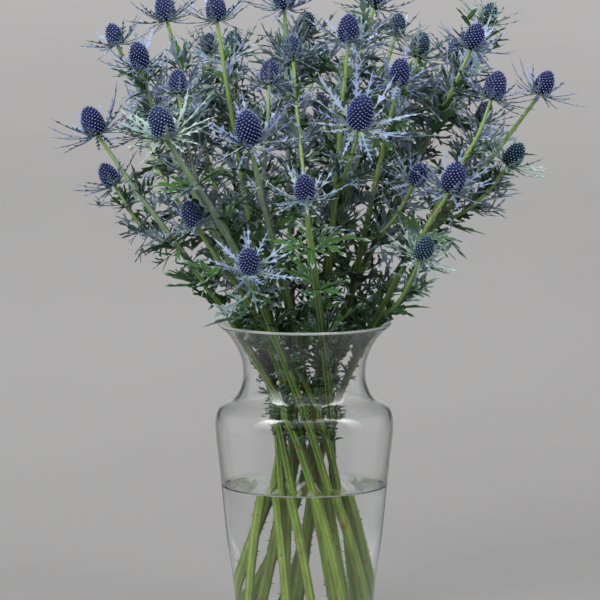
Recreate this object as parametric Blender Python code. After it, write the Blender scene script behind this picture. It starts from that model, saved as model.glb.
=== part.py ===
"""Cut sea holly standing in a glass vase of water.

Metres, +Z up. The origin is the middle of the vase's base, on the table, and the front of the bunch faces -Y.
Fifteen leafy stems lean through the vase's neck in one spiral, so that each passes its neighbours, and fork
above the rim to carry the blooms. A bloom is a cone of florets over a ruff of spiny bracts.
"""

import math
import random

import bmesh
import bpy
import numpy as np

MM = 0.001
TOUCH_GAP = 0.3 * MM
SEED = 5

# Vase, from the middle of its base to its lip, as radius and height in mm
VASE_OUTLINE_MM = (
    (53.5, 0.0),
    (58.8, 3.5),
    (60.1, 16.0),
    (63.4, 45.0),
    (69.2, 92.0),
    (73.8, 136.0),
    (76.4, 164.0),
    (73.6, 180.0),
    (63.5, 187.5),
    (55.0, 197.0),
    (52.6, 211.0),
    (56.0, 230.0),
    (64.2, 244.0),
    (74.8, 251.8),
)
VASE_WALL = 2.8 * MM
VASE_FLOOR = 9.0 * MM
FLOOR_CORNER = 3.0 * MM
VASE_SIDES = 24
RIM_HEIGHT = 254.0 * MM
LIP_ROUND = 0.6 * MM
SHARP_EDGE = math.radians(40)

# Water
WATER_LEVEL = 113.5 * MM
HOLE_SIDES = 5

# Bunch: the stems pass the waist in two rings, and stand on the vase's floor in two wider ones
WAIST_HEIGHT = 158.0 * MM
WAIST_RADIUS = {"outer": 23.5 * MM, "inner": 10.5 * MM}
FOOT_RADIUS = {"outer": 47.0 * MM, "inner": 28.0 * MM}
WAIST_TURN = math.radians(75)
FOOT_TURN = {"outer": math.radians(64), "inner": math.radians(70)}
EVEN_BEARINGS = 0.65

# Lines are bent clear by small pushes, and each push spreads along its line
STEM_POINTS = 56
BRANCH_POINTS = 14
STEM_GAP = 3.0 * MM
STEM_TOLERANCE = 0.9 * MM
BEND_ROUNDS = 260
BEND_PUSH = 0.3
BEND_SPREAD = 0.4
STIFF_END = 1 / 6
HEAD_REACH = 0.62
BRANCH_START = 2
NEAR_ROUNDS = 16
NEAR_MARGIN = 9.0 * MM

# A stem thins from its cut foot to its bloom
FOOT_THICKNESS = 9.0 * MM
WAIST_THICKNESS = 8.2 * MM
FORK_THICKNESS = 5.2 * MM
TIP_THICKNESS = 3.0 * MM
BRANCH_THICKNESS = 3.6 * MM
LOWEST_FORK = 268.0 * MM
FORK_SPACING = 4
SHORTEST_BRANCH = 62.0 * MM
SHORTEST_STALK = 44.0 * MM
BRANCH_SLOPE = 1.25
BRANCH_RISE = 1.15
BRANCH_KNEE = 0.36
BRANCH_END = 0.16
SAME_SIDE = 0.5
STALK_PULL = 0.8
UPRIGHT_PULL = 0.35

# Each stem: its ring at the waist, and its blooms. The first bloom ends the stem, and the others are on its
# branches. A bloom is how far its head's middle is to the right, towards the front and up, and its head's
# height, all in mm.
STEMS = {
    "far_left": ("outer", ((-181, 0, 428, 27), (-168, -10, 381, 22))),
    "upper_left": ("inner", ((-162, 0, 502, 20), (-140, 35, 487, 24))),
    "front_left": ("outer", ((-119, 115, 437, 30), (-106, 70, 467, 22))),
    "back_left": ("outer", ((-120, -40, 522, 24), (-144, -110, 416, 22), (-83, -100, 487, 20))),
    "rear_left": (
        "outer",
        ((-75, 20, 526, 24), (-61, -70, 490, 22), (-103, -80, 371, 22), (-55, -140, 350, 22)),
    ),
    "front_mid_left": ("inner", ((-47, 105, 432, 31), (-29, 65, 475, 22))),
    "low_left": ("outer", ((-95, 85, 358, 23), (-46, 130, 324, 25))),
    "front_middle": ("outer", ((0, 135, 385, 24), (-10, 50, 494, 22))),
    "middle": ("inner", ((-17, -5, 535, 25), (1, -40, 507, 25), (15, -130, 476, 22))),
    "front_mid_right": ("inner", ((37, 55, 511, 25), (47, 110, 446, 32), (61, -15, 535, 25))),
    "rear_right": (
        "outer",
        ((81, -90, 504, 21), (16, -110, 431, 24), (112, -110, 443, 24), (45, -145, 400, 22)),
    ),
    "upper_right": ("outer", ((80, 60, 475, 24), (99, 0, 493, 23), (96, 62, 389, 21))),
    "low_right": ("outer", ((125, 88, 389, 28), (101, 75, 328, 22), (161, 45, 462, 26))),
    "back_right": ("inner", ((144, 25, 502, 24), (159, -40, 517, 20), (132, -75, 484, 20))),
    "far_right": ("outer", ((205, -5, 460, 23), (179, 15, 401, 23), (157, -80, 429, 20))),
}

# Bloom: a head's width and relief are shares of its height, a bract's width and thickness of its length
HEAD_WIDTH = 0.74
HEAD_SHOULDER = 0.16
HEAD_LEAN = 0.86
HEAD_FULLNESS = 0.62
HEAD_COLUMNS = 7
HEAD_ROWS = 4
HEAD_TWIST = 0.36
FLORET_RISE = 0.085
COLLAR_SHARE = 0.12
CROWN_SHARE = 0.92
BASE_RADIUS = 2.6 * MM
HEAD_GAP = 2.4 * MM
BRACT_ROOT = 0.72
BRACT_LENGTH = 1.5
BRACT_HALF_WIDTH = 0.065
BRACT_NECK = 0.35
BRACT_THICKNESS = 0.034
BRACT_CORE = 1.0 * MM
BRACT_STRAY = 0.18
BRACT_RISE = (-10, 26)
BRACT_CURL = (6, 44)

# Stem mesh: the collar of faces that a branch or leaf grows from reaches this share of a step either way
STEM_SIDES = 5
COLLAR_STEP = 0.24
BRANCH_CORNER = 0.78

# Leaf: its lobes' half widths and its thickness are shares of its length
LEAF_LOBES = (0.0, 42.0, -42.0)
SIDE_LOBE = 0.66
LOBE_WIDTH = 0.078
SIDE_LOBE_WIDTH = 0.062
VALLEY_REACH = 0.8
LEAF_THICKNESS = 0.045
LEAF_STALK = 9.5 * MM
LEAF_NECK = 1.9 * MM
LEAF_CORE = 1.6 * MM
LEAF_CLEARS_RIM = 4.0 * MM
LEAF_RISE = (17, 40)
LEAF_CURL = (-45, 0)
LOWEST_PAIR_RISE = 8
LOWEST_PAIR_AT = 0.4
FORK_LEAVES = 3
FORK_LEAF_LENGTH = 46.0 * MM
LEAF_PAIR_SPACING = 44.0 * MM
STEM_LEAF_LENGTH = 54.0 * MM
LOWEST_LEAF = 226.0 * MM
WHORL_STRAY = 0.12
PAIR_STRAY = 0.4
BEARING_STEPS = 24

# A blade is kept clear by spheres along its middle line, and shrinks a little with each try
BLADE_POINTS = 9
BLADE_SPHERES = 14
ROOT_SPHERES = 2
BLADE_GAP = 0.8 * MM
BRACT_TRIES = 26
BRACT_SHRINK = 0.026
LEAF_TRIES = 20
LEAF_SHRINK = 0.018
LENGTH_SPREAD = (0.86, 1.14)


def unit(vector):
    """The vector at length 1."""
    vector = np.asarray(vector, float)
    return vector / max(np.linalg.norm(vector), 1e-9)


def turned_about(vector, axis, angle):
    """The vector turned about a unit axis."""
    along = axis * (vector @ axis)
    across = vector - along
    return along + across * math.cos(angle) + np.cross(axis, across) * math.sin(angle)


def square_to(axis, towards):
    """The unit vector nearest to towards that is square to the axis."""
    return unit(towards - axis * (np.asarray(towards, float) @ axis))


def bearing_start(axis):
    """The direction round an axis that bearings are counted from."""
    return square_to(axis, np.array([1.0, 0.2, 0.1]))


def bearing_of(way, axis):
    """The bearing of a direction round an axis."""
    first = bearing_start(axis)
    return math.atan2(way @ np.cross(axis, first), way @ first)


def smooth_curve(knots, count):
    """count points at even spacing on a smooth curve through the knots."""
    knots = np.asarray(knots, float)
    steps = np.linalg.norm(np.diff(knots, axis=0), axis=1)
    at = np.concatenate([[0], np.cumsum(steps)])
    slopes = np.gradient(knots, at, axis=0)
    fine = np.linspace(0, at[-1], 12 * len(knots))
    span = np.clip(np.searchsorted(at, fine, side="right") - 1, 0, len(steps) - 1)
    t = ((fine - at[span]) / steps[span])[:, None]
    rise = steps[span][:, None]
    curve = (
        (2 * t**3 - 3 * t**2 + 1) * knots[span]
        + (t**3 - 2 * t**2 + t) * rise * slopes[span]
        + (3 * t**2 - 2 * t**3) * knots[span + 1]
        + (t**3 - t**2) * rise * slopes[span + 1]
    )
    return evenly(curve, count)


def evenly(line, count):
    """count points at even spacing along a line of points."""
    run = np.concatenate([[0], np.cumsum(np.linalg.norm(np.diff(line, axis=0), axis=1))])
    wanted = np.linspace(0, run[-1], count)
    return np.stack([np.interp(wanted, run, line[:, k]) for k in range(3)], axis=1)


# Vase and water

def vase_outline():
    """The outside of the vase's wall as radius and height, from base to lip."""
    return np.array(VASE_OUTLINE_MM) * MM


def vase_inside():
    """The inside of the vase's wall as radius and height, from lip to floor."""
    outline = vase_outline()[1:]
    way = np.gradient(outline, axis=0)
    way /= np.linalg.norm(way, axis=1)[:, None]
    inward = np.stack([-way[:, 1], way[:, 0]], axis=1)
    inside = (outline + inward * VASE_WALL)[::-1]
    return inside[inside[:, 1] > VASE_FLOOR + FLOOR_CORNER]


def inside_radius(height):
    """How far from the axis the inside of the wall is at that height."""
    inside = vase_inside()[::-1]
    return np.interp(height, inside[:, 1], inside[:, 0])


def room_radius(height):
    """How far from the axis there is room at that height: the wall's inside is made of flat sides."""
    return inside_radius(height) * math.cos(math.pi / VASE_SIDES)


def turned_solid(name, profile, sides, material):
    """A solid turned about the Z axis from (radius, height) points that start and end on the axis."""
    bm = bmesh.new()
    corners = [bm.verts.new((radius, 0, height)) for radius, height in profile]
    edges = [bm.edges.new(pair) for pair in zip(corners, corners[1:])]
    bmesh.ops.spin(
        bm, geom=corners + edges, cent=(0, 0, 0), axis=(0, 0, 1), angle=math.tau, steps=sides, use_merge=True
    )
    bmesh.ops.remove_doubles(bm, verts=bm.verts[:], dist=0.01 * MM)
    bmesh.ops.recalc_face_normals(bm, faces=bm.faces[:])
    turned = mesh_object(name, bm, material)
    turned.data.shade_smooth()
    turned.data.set_sharp_from_angle(angle=SHARP_EDGE)
    return turned


def make_vase(material):
    """The glass vase: a flat thick base, a tapering body, a shoulder, a neck and a flared lip."""
    outline = vase_outline()
    inside = vase_inside()
    lip = [tuple((outline[-1] + inside[0]) / 2 + LIP_ROUND)]
    floor = [(inside[-1][0] - FLOOR_CORNER, VASE_FLOOR), (0, VASE_FLOOR)]
    profile = [(0, 0)] + [tuple(p) for p in outline] + lip + [tuple(p) for p in inside] + floor
    return turned_solid("vase", profile, VASE_SIDES, material)


def make_water(stems, material):
    """The water, a little clear of the glass, with a plain slanting hole for each stem."""
    wet = [(r - TOUCH_GAP, z) for r, z in vase_inside()[::-1] if z < WATER_LEVEL]
    bottom = VASE_FLOOR + TOUCH_GAP
    surface = (inside_radius(WATER_LEVEL) - TOUCH_GAP, WATER_LEVEL)
    profile = [(0, bottom), (wet[0][0] - FLOOR_CORNER, bottom), *wet, surface, (0, WATER_LEVEL)]
    water = turned_solid("water", profile, VASE_SIDES, material)
    holes = bpy.data.collections.new("stem_holes")
    bpy.context.scene.collection.children.link(holes)
    for stem in stems:
        line = stem["lines"][0]
        points = line["points"]
        top = int(np.searchsorted(points[:, 2], WATER_LEVEL)) + 1
        foot_way = points[1] - points[0]
        below = points[0] - foot_way * FLOOR_CORNER / foot_way[2]
        path = [below, *[points[k] for k in line["picked"] if 0 < k < top - 1], points[top]]
        hole = mesh_object("hole_" + stem["name"], hole_mesh(path), None, holes)
        hole.hide_render = True
        hole.display_type = "WIRE"
    cut_away(water, holes)
    return water


# Layout of the bunch

def place_of(bloom):
    """The middle of a bloom's head in metres."""
    right, front, up, _ = bloom
    return np.array([right, -front, up]) * MM


def stem_radii(points, fork_height):
    """A stem's half thickness at each of its points."""
    heights = (0, WAIST_HEIGHT, fork_height, points[-1][2])
    widths = (FOOT_THICKNESS, WAIST_THICKNESS, FORK_THICKNESS, TIP_THICKNESS)
    return np.interp(points[:, 2], heights, widths) / 2


def set_bloom(bloom, carried_from):
    """Tilts a bloom the way its stalk comes up to it, and finds where its head starts."""
    middle = place_of(bloom)
    head = bloom[3] * MM
    axis = unit(STALK_PULL * unit(middle - carried_from) + np.array([0, 0, UPRIGHT_PULL]))
    return {"middle": middle, "axis": axis, "head": head, "base": middle - axis * head / 2}


def stem_bearings():
    """The bearing at the waist of each stem, evenly round its ring and in the order of their blooms."""
    bearings = {}
    for ring in WAIST_RADIUS:
        members = []
        for name, (where, blooms) in STEMS.items():
            if where == ring:
                middle = sum(place_of(bloom) for bloom in blooms)
                members.append((math.atan2(middle[1], middle[0]), name))
        members.sort()
        step = math.tau / len(members)
        drift = sum(bearing - k * step for k, (bearing, _) in enumerate(members)) / len(members)
        for k, (bearing, name) in enumerate(members):
            even = drift + k * step
            bearings[name] = bearing + (even - bearing) * EVEN_BEARINGS + WAIST_TURN
    return bearings


def around(radius, bearing, height):
    """The point at a radius and bearing round the vase's axis, and a height."""
    return np.array([radius * math.cos(bearing), radius * math.sin(bearing), height])


def own_side(main, fork, end, sides):
    """The fork, the line's direction and the side that a branch leaves to, which no other branch has."""
    while True:
        leaving = unit(main[fork + 1] - main[fork - 1])
        later = main[min(fork + 2 * FORK_SPACING, STEM_POINTS - 1)]
        aside = square_to(leaving, end - later)
        if all(aside @ other < SAME_SIDE for other in sides.get(fork, ())):
            sides.setdefault(fork, []).append(aside)
            return fork, leaving, aside
        fork += FORK_SPACING


def lay_out_stem(name, bearing):
    """One stem's lines: the stem to its end bloom, then a branch for each other bloom."""
    ring, places = STEMS[name]
    waist = around(WAIST_RADIUS[ring], bearing, WAIST_HEIGHT)
    foot = around(FOOT_RADIUS[ring], bearing + FOOT_TURN[ring], VASE_FLOOR + TOUCH_GAP)
    blooms = [set_bloom(places[0], (waist + place_of(places[0])) / 2)]
    main = smooth_curve([foot, waist, blooms[0]["base"] - blooms[0]["axis"] * TOUCH_GAP], STEM_POINTS)
    lines = []
    sides = {}
    for place in places[1:]:
        target = place_of(place)
        beside = main[np.argmin(abs(main[:, 2] - target[2]))]
        aside = np.linalg.norm((target - beside)[:2])
        drop = max(SHORTEST_BRANCH, BRANCH_SLOPE * aside)
        highest = min(target[2] - drop, main[-1][2] - SHORTEST_STALK)
        height = max(LOWEST_FORK, highest)
        fork = int(np.argmin(abs(main[:, 2] - height)))
        fork = next((other for other in sides if abs(other - fork) < FORK_SPACING), fork)
        bloom = set_bloom(place, main[fork])
        end = bloom["base"] - bloom["axis"] * TOUCH_GAP
        reach = np.linalg.norm(end - main[fork])
        fork, leaving, aside = own_side(main, fork, end, sides)
        knee = main[fork] + unit(leaving * BRANCH_RISE + aside) * reach * BRANCH_KNEE
        straight = end - bloom["axis"] * reach * BRANCH_END
        lines.append({
            "points": smooth_curve([main[fork], knee, straight, end], BRANCH_POINTS),
            "radii": np.linspace(BRANCH_THICKNESS, TIP_THICKNESS, BRANCH_POINTS) / 2,
            "fork": fork,
            "end": bloom["axis"],
        })
        blooms.append(bloom)
    lowest = main[min(sides)][2]
    radii = stem_radii(main, lowest)
    lines.insert(0, {"points": main, "radii": radii, "fork": None, "end": blooms[0]["axis"]})
    return {"name": name, "lines": lines, "blooms": blooms, "forks": sorted(sides)}


def looseness(line):
    """How freely each point of a line may be pushed: a line's ends stay, but a branch goes with its fork."""
    along = np.linspace(0, 1, len(line["points"]))
    ease = np.minimum(1, (1 - along) / STIFF_END)
    return ease * np.minimum(1, along / STIFF_END) if line["fork"] is None else ease


def stations(points, keep, tolerance):
    """Which points of a line are enough to draw it within the tolerance, the ones in keep among them."""
    picked = sorted({0, len(points) - 1, *keep})
    spans = list(zip(picked, picked[1:]))
    while spans:
        low, high = spans.pop()
        if high - low < 2:
            continue
        chord = unit(points[high] - points[low])
        off = points[low + 1 : high] - points[low]
        far = np.linalg.norm(off - np.outer(off @ chord, chord), axis=1)
        if far.max() > tolerance:
            middle = low + 1 + int(far.argmax())
            picked.append(middle)
            spans += [(low, middle), (middle, high)]
    return sorted(picked)


def straighten(line, keep, tolerance):
    """Puts a line's points on the straight runs between its stations."""
    points = line["points"]
    picked = stations(points, keep, tolerance)
    at = np.arange(len(points))
    line["points"] = np.stack([np.interp(at, picked, points[picked, k]) for k in range(3)], axis=1)
    line["picked"] = picked


def close_pairs(points, others, needed, free):
    """The pairs of a point and another that are too close, or may soon be."""
    far = np.sqrt(((points[:, None, :] - others[None, :, :]) ** 2).sum(axis=2))
    return np.nonzero(free & (far < needed + NEAR_MARGIN))


def bend_clear(stems):
    """Pushes the lines of the stems apart, and off each other's heads and the glass, until all are clear."""
    lines = [line for stem in stems for line in stem["lines"]]
    stem_of = [k for k, stem in enumerate(stems) for _ in stem["lines"]]
    counts = [len(line["points"]) for line in lines]
    starts = np.concatenate([[0], np.cumsum(counts)])
    drawn = np.vstack([line["points"] for line in lines])
    points = drawn.copy()
    radii = np.concatenate([line["radii"] for line in lines])
    owner = np.repeat(stem_of, counts)
    line_of = np.repeat(np.arange(len(lines)), counts)
    loose = np.concatenate([looseness(line) for line in lines])
    heads = np.array([bloom["middle"] for stem in stems for bloom in stem["blooms"]])
    head_radii = np.array([bloom["head"] * HEAD_REACH for stem in stems for bloom in stem["blooms"]])
    start_of = [0 if line["fork"] is None else BRANCH_START for line in lines]
    past_start = np.concatenate([np.arange(count) >= start for count, start in zip(counts, start_of)])
    grown = past_start[:, None] & past_start[None, :]
    other_line = line_of[:, None] != line_of[None, :]
    apart = (owner[:, None] != owner[None, :]) | (other_line & grown)
    needed = radii[:, None] + radii[None, :] + STEM_GAP
    head_needed = radii[:, None] + head_radii[None, :] + STEM_GAP
    carried = line_of[:, None] == np.arange(len(lines))[None, :]
    for turn in range(BEND_ROUNDS):
        tests = ((points, needed, apart), (heads, head_needed, ~carried))
        if turn % NEAR_ROUNDS == 0:
            near = [close_pairs(points, *test) for test in tests]
        push = np.zeros_like(points)
        for (others, need, _), (one, other) in zip(tests, near):
            away = points[one] - others[other]
            far = np.linalg.norm(away, axis=1) + 1e-9
            short = np.maximum(need[one, other] - far, 0)
            np.add.at(push, one, away * (BEND_PUSH * short / far)[:, None])
        points = points + push * loose[:, None]
        room = room_radius(points[:, 2]) - radii - STEM_GAP / 2
        out = np.linalg.norm(points[:, :2], axis=1)
        shrink = np.where((points[:, 2] < RIM_HEIGHT) & (out > room), room / out, 1)
        points[:, :2] *= shrink[:, None]
        bend = points - drawn
        for k, line in enumerate(lines):
            part = bend[starts[k] : starts[k + 1]]
            middle = (part[:-2] + part[2:]) / 2
            part[1:-1] += (middle - part[1:-1]) * BEND_SPREAD * loose[starts[k] + 1 : starts[k + 1] - 1, None]
            if line["fork"] is not None:
                trunk = starts[stem_of.index(stem_of[k])]
                part[0] = bend[trunk + line["fork"]]
        points = drawn + bend
    for k, line in enumerate(lines):
        line["points"] = points[starts[k] : starts[k + 1]]
    for stem in stems:
        straighten(stem["lines"][0], stem["forks"], STEM_TOLERANCE)
        for branch in stem["lines"][1:]:
            straighten(branch, (), STEM_TOLERANCE)


def along_line(line, at):
    """A line's points and half thicknesses at places counted in its points."""
    index = np.arange(len(line["points"]))
    points = np.stack([np.interp(at, index, line["points"][:, k]) for k in range(3)], axis=-1)
    return points, np.interp(at, index, line["radii"])


class Room:
    """What has been placed so far, as spheres in cells, so that a new piece can find a clear place."""

    CELL = 14 * MM

    def __init__(self):
        self.cells = {}

    def cell(self, point):
        return tuple(int(math.floor(value / self.CELL)) for value in point)

    def add(self, points, radii, owner):
        for point, radius in zip(points, np.broadcast_to(radii, len(points))):
            self.cells.setdefault(self.cell(point), []).append((*point, float(radius), owner))

    def is_clear(self, points, radii, but, gap=BLADE_GAP):
        """Whether spheres at the points touch nothing, nor the glass, but for what the owners in but have."""
        for (x, y, z), radius in zip(points, radii):
            if z < RIM_HEIGHT + LEAF_CLEARS_RIM and math.hypot(x, y) > room_radius(z) - radius - gap:
                return False
            i, j, k = self.cell((x, y, z))
            for cell in [(i + a, j + b, k + c) for a in (-1, 0, 1) for b in (-1, 0, 1) for c in (-1, 0, 1)]:
                for px, py, pz, other_radius, other in self.cells.get(cell, ()):
                    reach = radius + other_radius + gap
                    if other not in but and (px - x) ** 2 + (py - y) ** 2 + (pz - z) ** 2 < reach * reach:
                        return False
        return True


def blade_line(root, out, up, length, rise, curl):
    """A blade's middle line: it leaves the root along out, rising by an angle and curling up or down."""
    line = [root]
    steps = BLADE_POINTS - 1
    for k in range(steps):
        angle = rise + curl * (k + 0.5) / steps
        line.append(line[-1] + (out * math.cos(angle) + up * math.sin(angle)) * length / steps)
    return np.array(line)


def blade_spheres(line, root_radius, half_width):
    """Points along a blade, from a little past its root, and how far the blade reaches round each."""
    points = evenly(line, BLADE_SPHERES)
    share = np.linspace(0, 1, BLADE_SPHERES)
    reach = root_radius + (half_width - root_radius / 2) * np.sin(share * math.pi)
    return points[ROOT_SPHERES:], reach[ROOT_SPHERES:]


def clears_head(line, bloom):
    """Whether a bract stays outside its own head and the florets on it."""
    off = evenly(line, BLADE_SPHERES)[ROOT_SPHERES:] - bloom["base"]
    shares = off @ bloom["axis"] / bloom["head"]
    reach = np.linalg.norm(off - np.outer(off @ bloom["axis"], bloom["axis"]), axis=1)
    return all(
        r > head_radius(share, bloom["head"]) + HEAD_GAP * min(1, share / COLLAR_SHARE)
        for share, r in zip(shares, reach)
        if share > COLLAR_SHARE / 2
    )


def place_bracts(bloom, room, draw):
    """The ruff under a head: bracts all round, each at the first rise and length that is clear."""
    axis = bloom["axis"]
    step = math.tau / HEAD_COLUMNS
    bloom["start"] = draw.uniform(0, step)
    bloom["bracts"] = []
    ruff = bloom["name"] + " ruff"
    collar_radius = head_radius(COLLAR_SHARE, bloom["head"])
    for k in range(HEAD_COLUMNS):
        for trial in range(BRACT_TRIES + 1):
            squeezed = trial == BRACT_TRIES
            stray = 0 if squeezed else draw.uniform(-BRACT_STRAY, BRACT_STRAY)
            bearing = bloom["start"] + (k + stray) * step
            rise = math.radians(0 if squeezed else draw.uniform(*BRACT_RISE))
            curl = math.radians(BRACT_CURL[0] if squeezed else draw.uniform(*BRACT_CURL) + trial)
            length = bloom["head"] * BRACT_LENGTH * draw.uniform(*LENGTH_SPREAD) * (1 - BRACT_SHRINK * trial)
            out = turned_about(bearing_start(axis), axis, bearing)
            root = bloom["base"] + out * BRACT_ROOT * collar_radius + axis * COLLAR_SHARE / 2 * bloom["head"]
            line = blade_line(root, out, axis, length, rise, curl)
            spheres = blade_spheres(line, BRACT_CORE, BRACT_HALF_WIDTH * length)
            tip = [part[2 * ROOT_SPHERES :] for part in spheres]
            if (
                clears_head(line, bloom)
                and room.is_clear(*spheres, (bloom["name"], ruff))
                and room.is_clear(*tip, (bloom["name"],))
            ):
                break
        room.add(*spheres, ruff)
        bloom["bracts"].append({"line": line, "length": length, "bearing": bearing})


def leaf_lobes(root, out, up, length, rise, curl):
    """A three-lobed leaf as the middle lines of its lobes, the longest first."""
    side = np.cross(out, up)
    palm = root + (out * math.cos(rise) + up * math.sin(rise)) * LEAF_STALK
    lobes = []
    for angle in LEAF_LOBES:
        spread = math.radians(angle)
        way = out * math.cos(spread) + side * math.sin(spread)
        reach = (length - LEAF_STALK) * (1 if angle == 0 else SIDE_LOBE)
        lobes.append(blade_line(palm, way, up, reach, rise, curl))
    return lobes


def open_bearings(taken, count):
    """count bearings round a stem, each as far as can be from the ones before it."""
    bearings = []
    for _ in range(count):
        options = [math.tau * k / BEARING_STEPS for k in range(BEARING_STEPS)]
        used = taken + bearings
        options.sort(key=lambda bearing: min([1 - math.cos(bearing - other) for other in used] or [0]))
        bearings.append(options[-1])
    return bearings


def place_leaf(stem, at, bearing, stray, length, steeper, room, draw):
    """Tries a leaf on the stem's point at, turned and tilted a little at each try, until one is clear."""
    points = stem["lines"][0]["points"]
    axis = unit(points[at + 1] - points[at - 1])
    for trial in range(LEAF_TRIES):
        out = turned_about(bearing_start(axis), axis, bearing + draw.uniform(-stray, stray))
        rise = math.radians(draw.uniform(*LEAF_RISE) + steeper)
        curl = math.radians(draw.uniform(*LEAF_CURL))
        reach = length * draw.uniform(*LENGTH_SPREAD) * (1 - LEAF_SHRINK * trial)
        lobes = leaf_lobes(points[at], out, axis, reach, rise, curl)
        spheres = [blade_spheres(lobe, LEAF_CORE, LOBE_WIDTH * reach) for lobe in lobes]
        stalk = points[at] + (lobes[0][0] - points[at]) * np.array([[0.6], [0.8], [1.0]])
        free = room.is_clear(stalk, [LEAF_NECK] * 3, (stem["name"],))
        if free and all(room.is_clear(*part, ()) for part in spheres):
            for part in spheres:
                room.add(*part, stem["name"])
            up = square_to(unit(lobes[0][-1] - lobes[0][0]), axis)
            return {"at": at, "out": out, "lobes": lobes, "up": up, "length": reach}
    return None


def place_leaves(stem, room, draw):
    """Leaves in a whorl at each fork, and in pairs up the stem from the vase's neck to the first fork."""
    points = stem["lines"][0]["points"]
    found = []
    for fork in stem["forks"]:
        axis = unit(points[fork + 1] - points[fork - 1])
        branches = [line["points"] for line in stem["lines"][1:] if line["fork"] == fork]
        taken = [bearing_of(branch[2] - branch[0], axis) for branch in branches]
        for bearing in open_bearings(taken, FORK_LEAVES):
            found.append(place_leaf(stem, fork, bearing, WHORL_STRAY, FORK_LEAF_LENGTH, 0, room, draw))
    low = int(np.searchsorted(points[:, 2], LOWEST_LEAF))
    high = stem["forks"][0] - 1
    levels = max(1, round((points[high][2] - LOWEST_LEAF) / LEAF_PAIR_SPACING))
    for k in range(levels):
        at = round(low + (high - low) * (k + LOWEST_PAIR_AT) / levels)
        start = draw.uniform(0, math.tau)
        steeper = LOWEST_PAIR_RISE if k == 0 else 0
        for bearing in (start, start + math.pi):
            found.append(place_leaf(stem, at, bearing, PAIR_STRAY, STEM_LEAF_LENGTH, steeper, room, draw))
    stem["leaves"] = [leaf for leaf in found if leaf]


def lay_out_bunch():
    """The whole bunch: stems bent clear of each other, then bracts and leaves where there is room."""
    draw = random.Random(SEED)
    stems = [lay_out_stem(name, bearing) for name, bearing in stem_bearings().items()]
    bend_clear(stems)
    room = Room()
    for stem in stems:
        for line in stem["lines"]:
            count = len(line["points"])
            room.add(*along_line(line, np.linspace(0, count - 1, 3 * count)), stem["name"])
    for stem in stems:
        for k, bloom in enumerate(stem["blooms"]):
            bloom["name"] = f"bloom_{stem['name']}_{k + 1}"
            along = np.linspace(0.1, 1, 7)[:, None] * bloom["axis"] * bloom["head"]
            room.add(bloom["base"] + along, bloom["head"] * HEAD_WIDTH / 2, bloom["name"])
    for stem in stems:
        for bloom in stem["blooms"]:
            place_bracts(bloom, room, draw)
    for stem in stems:
        place_leaves(stem, room, draw)
    return stems


# Meshes

def mesh_object(name, bm, material, collection=None):
    """An object from a bmesh."""
    mesh = bpy.data.meshes.new(name)
    bm.to_mesh(mesh)
    bm.free()
    obj = bpy.data.objects.new(name, mesh)
    (collection or bpy.context.scene.collection).objects.link(obj)
    if material:
        mesh.materials.append(material)
    return obj


def cut_away(obj, cutters):
    """One applied Boolean of the object with a collection of cutters, which are then removed."""
    cut = obj.modifiers.new("cut", "BOOLEAN")
    cut.operand_type = "COLLECTION"
    cut.operation = "DIFFERENCE"
    cut.solver = "EXACT"
    cut.collection = cutters
    graph = bpy.context.evaluated_depsgraph_get()
    mesh = bpy.data.meshes.new_from_object(obj.evaluated_get(graph))
    obj.modifiers.clear()
    obj.data = mesh
    for cutter in list(cutters.objects):
        bpy.data.objects.remove(cutter)
    bpy.data.collections.remove(cutters)


def ring_of(bm, centre, radius, across, beside, sides):
    """A ring of corners about a centre."""
    turns = [math.tau * (k - 0.5) / sides for k in range(sides)]
    return [bm.verts.new(centre + (across * math.cos(t) + beside * math.sin(t)) * radius) for t in turns]


def wall(bm, low, high, left_open=()):
    """The faces between two rings, but for the ones left open, which are given back as four corners each."""
    openings = {}
    for k in range(len(low)):
        after = (k + 1) % len(low)
        corners = (low[k], low[after], high[after], high[k])
        if k in left_open:
            openings[k] = corners
        else:
            bm.faces.new(corners)
    return openings


def way_at(line, place):
    """The direction of a line at a place, which at its tip is the direction of its bloom."""
    points = line["points"]
    near = min(max(round(place), 1), len(points) - 2)
    return line["end"] if place > len(points) - 1.5 else unit(points[near + 1] - points[near - 1])


def hole_mesh(path):
    """A slanting prism round a stem, a little clear of it."""
    bm = bmesh.new()
    across, beside = np.array([1.0, 0, 0]), np.array([0, 1.0, 0])
    radius = (FOOT_THICKNESS / 2 + TOUCH_GAP) / math.cos(math.pi / HOLE_SIDES)
    slant = unit(path[-1] - path[0])[2]
    rings = [ring_of(bm, point, radius / slant, across, beside, HOLE_SIDES) for point in path]
    for low, high in zip(rings, rings[1:]):
        wall(bm, low, high)
    bm.faces.new(rings[0][::-1])
    bm.faces.new(rings[-1])
    return bm


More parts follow.
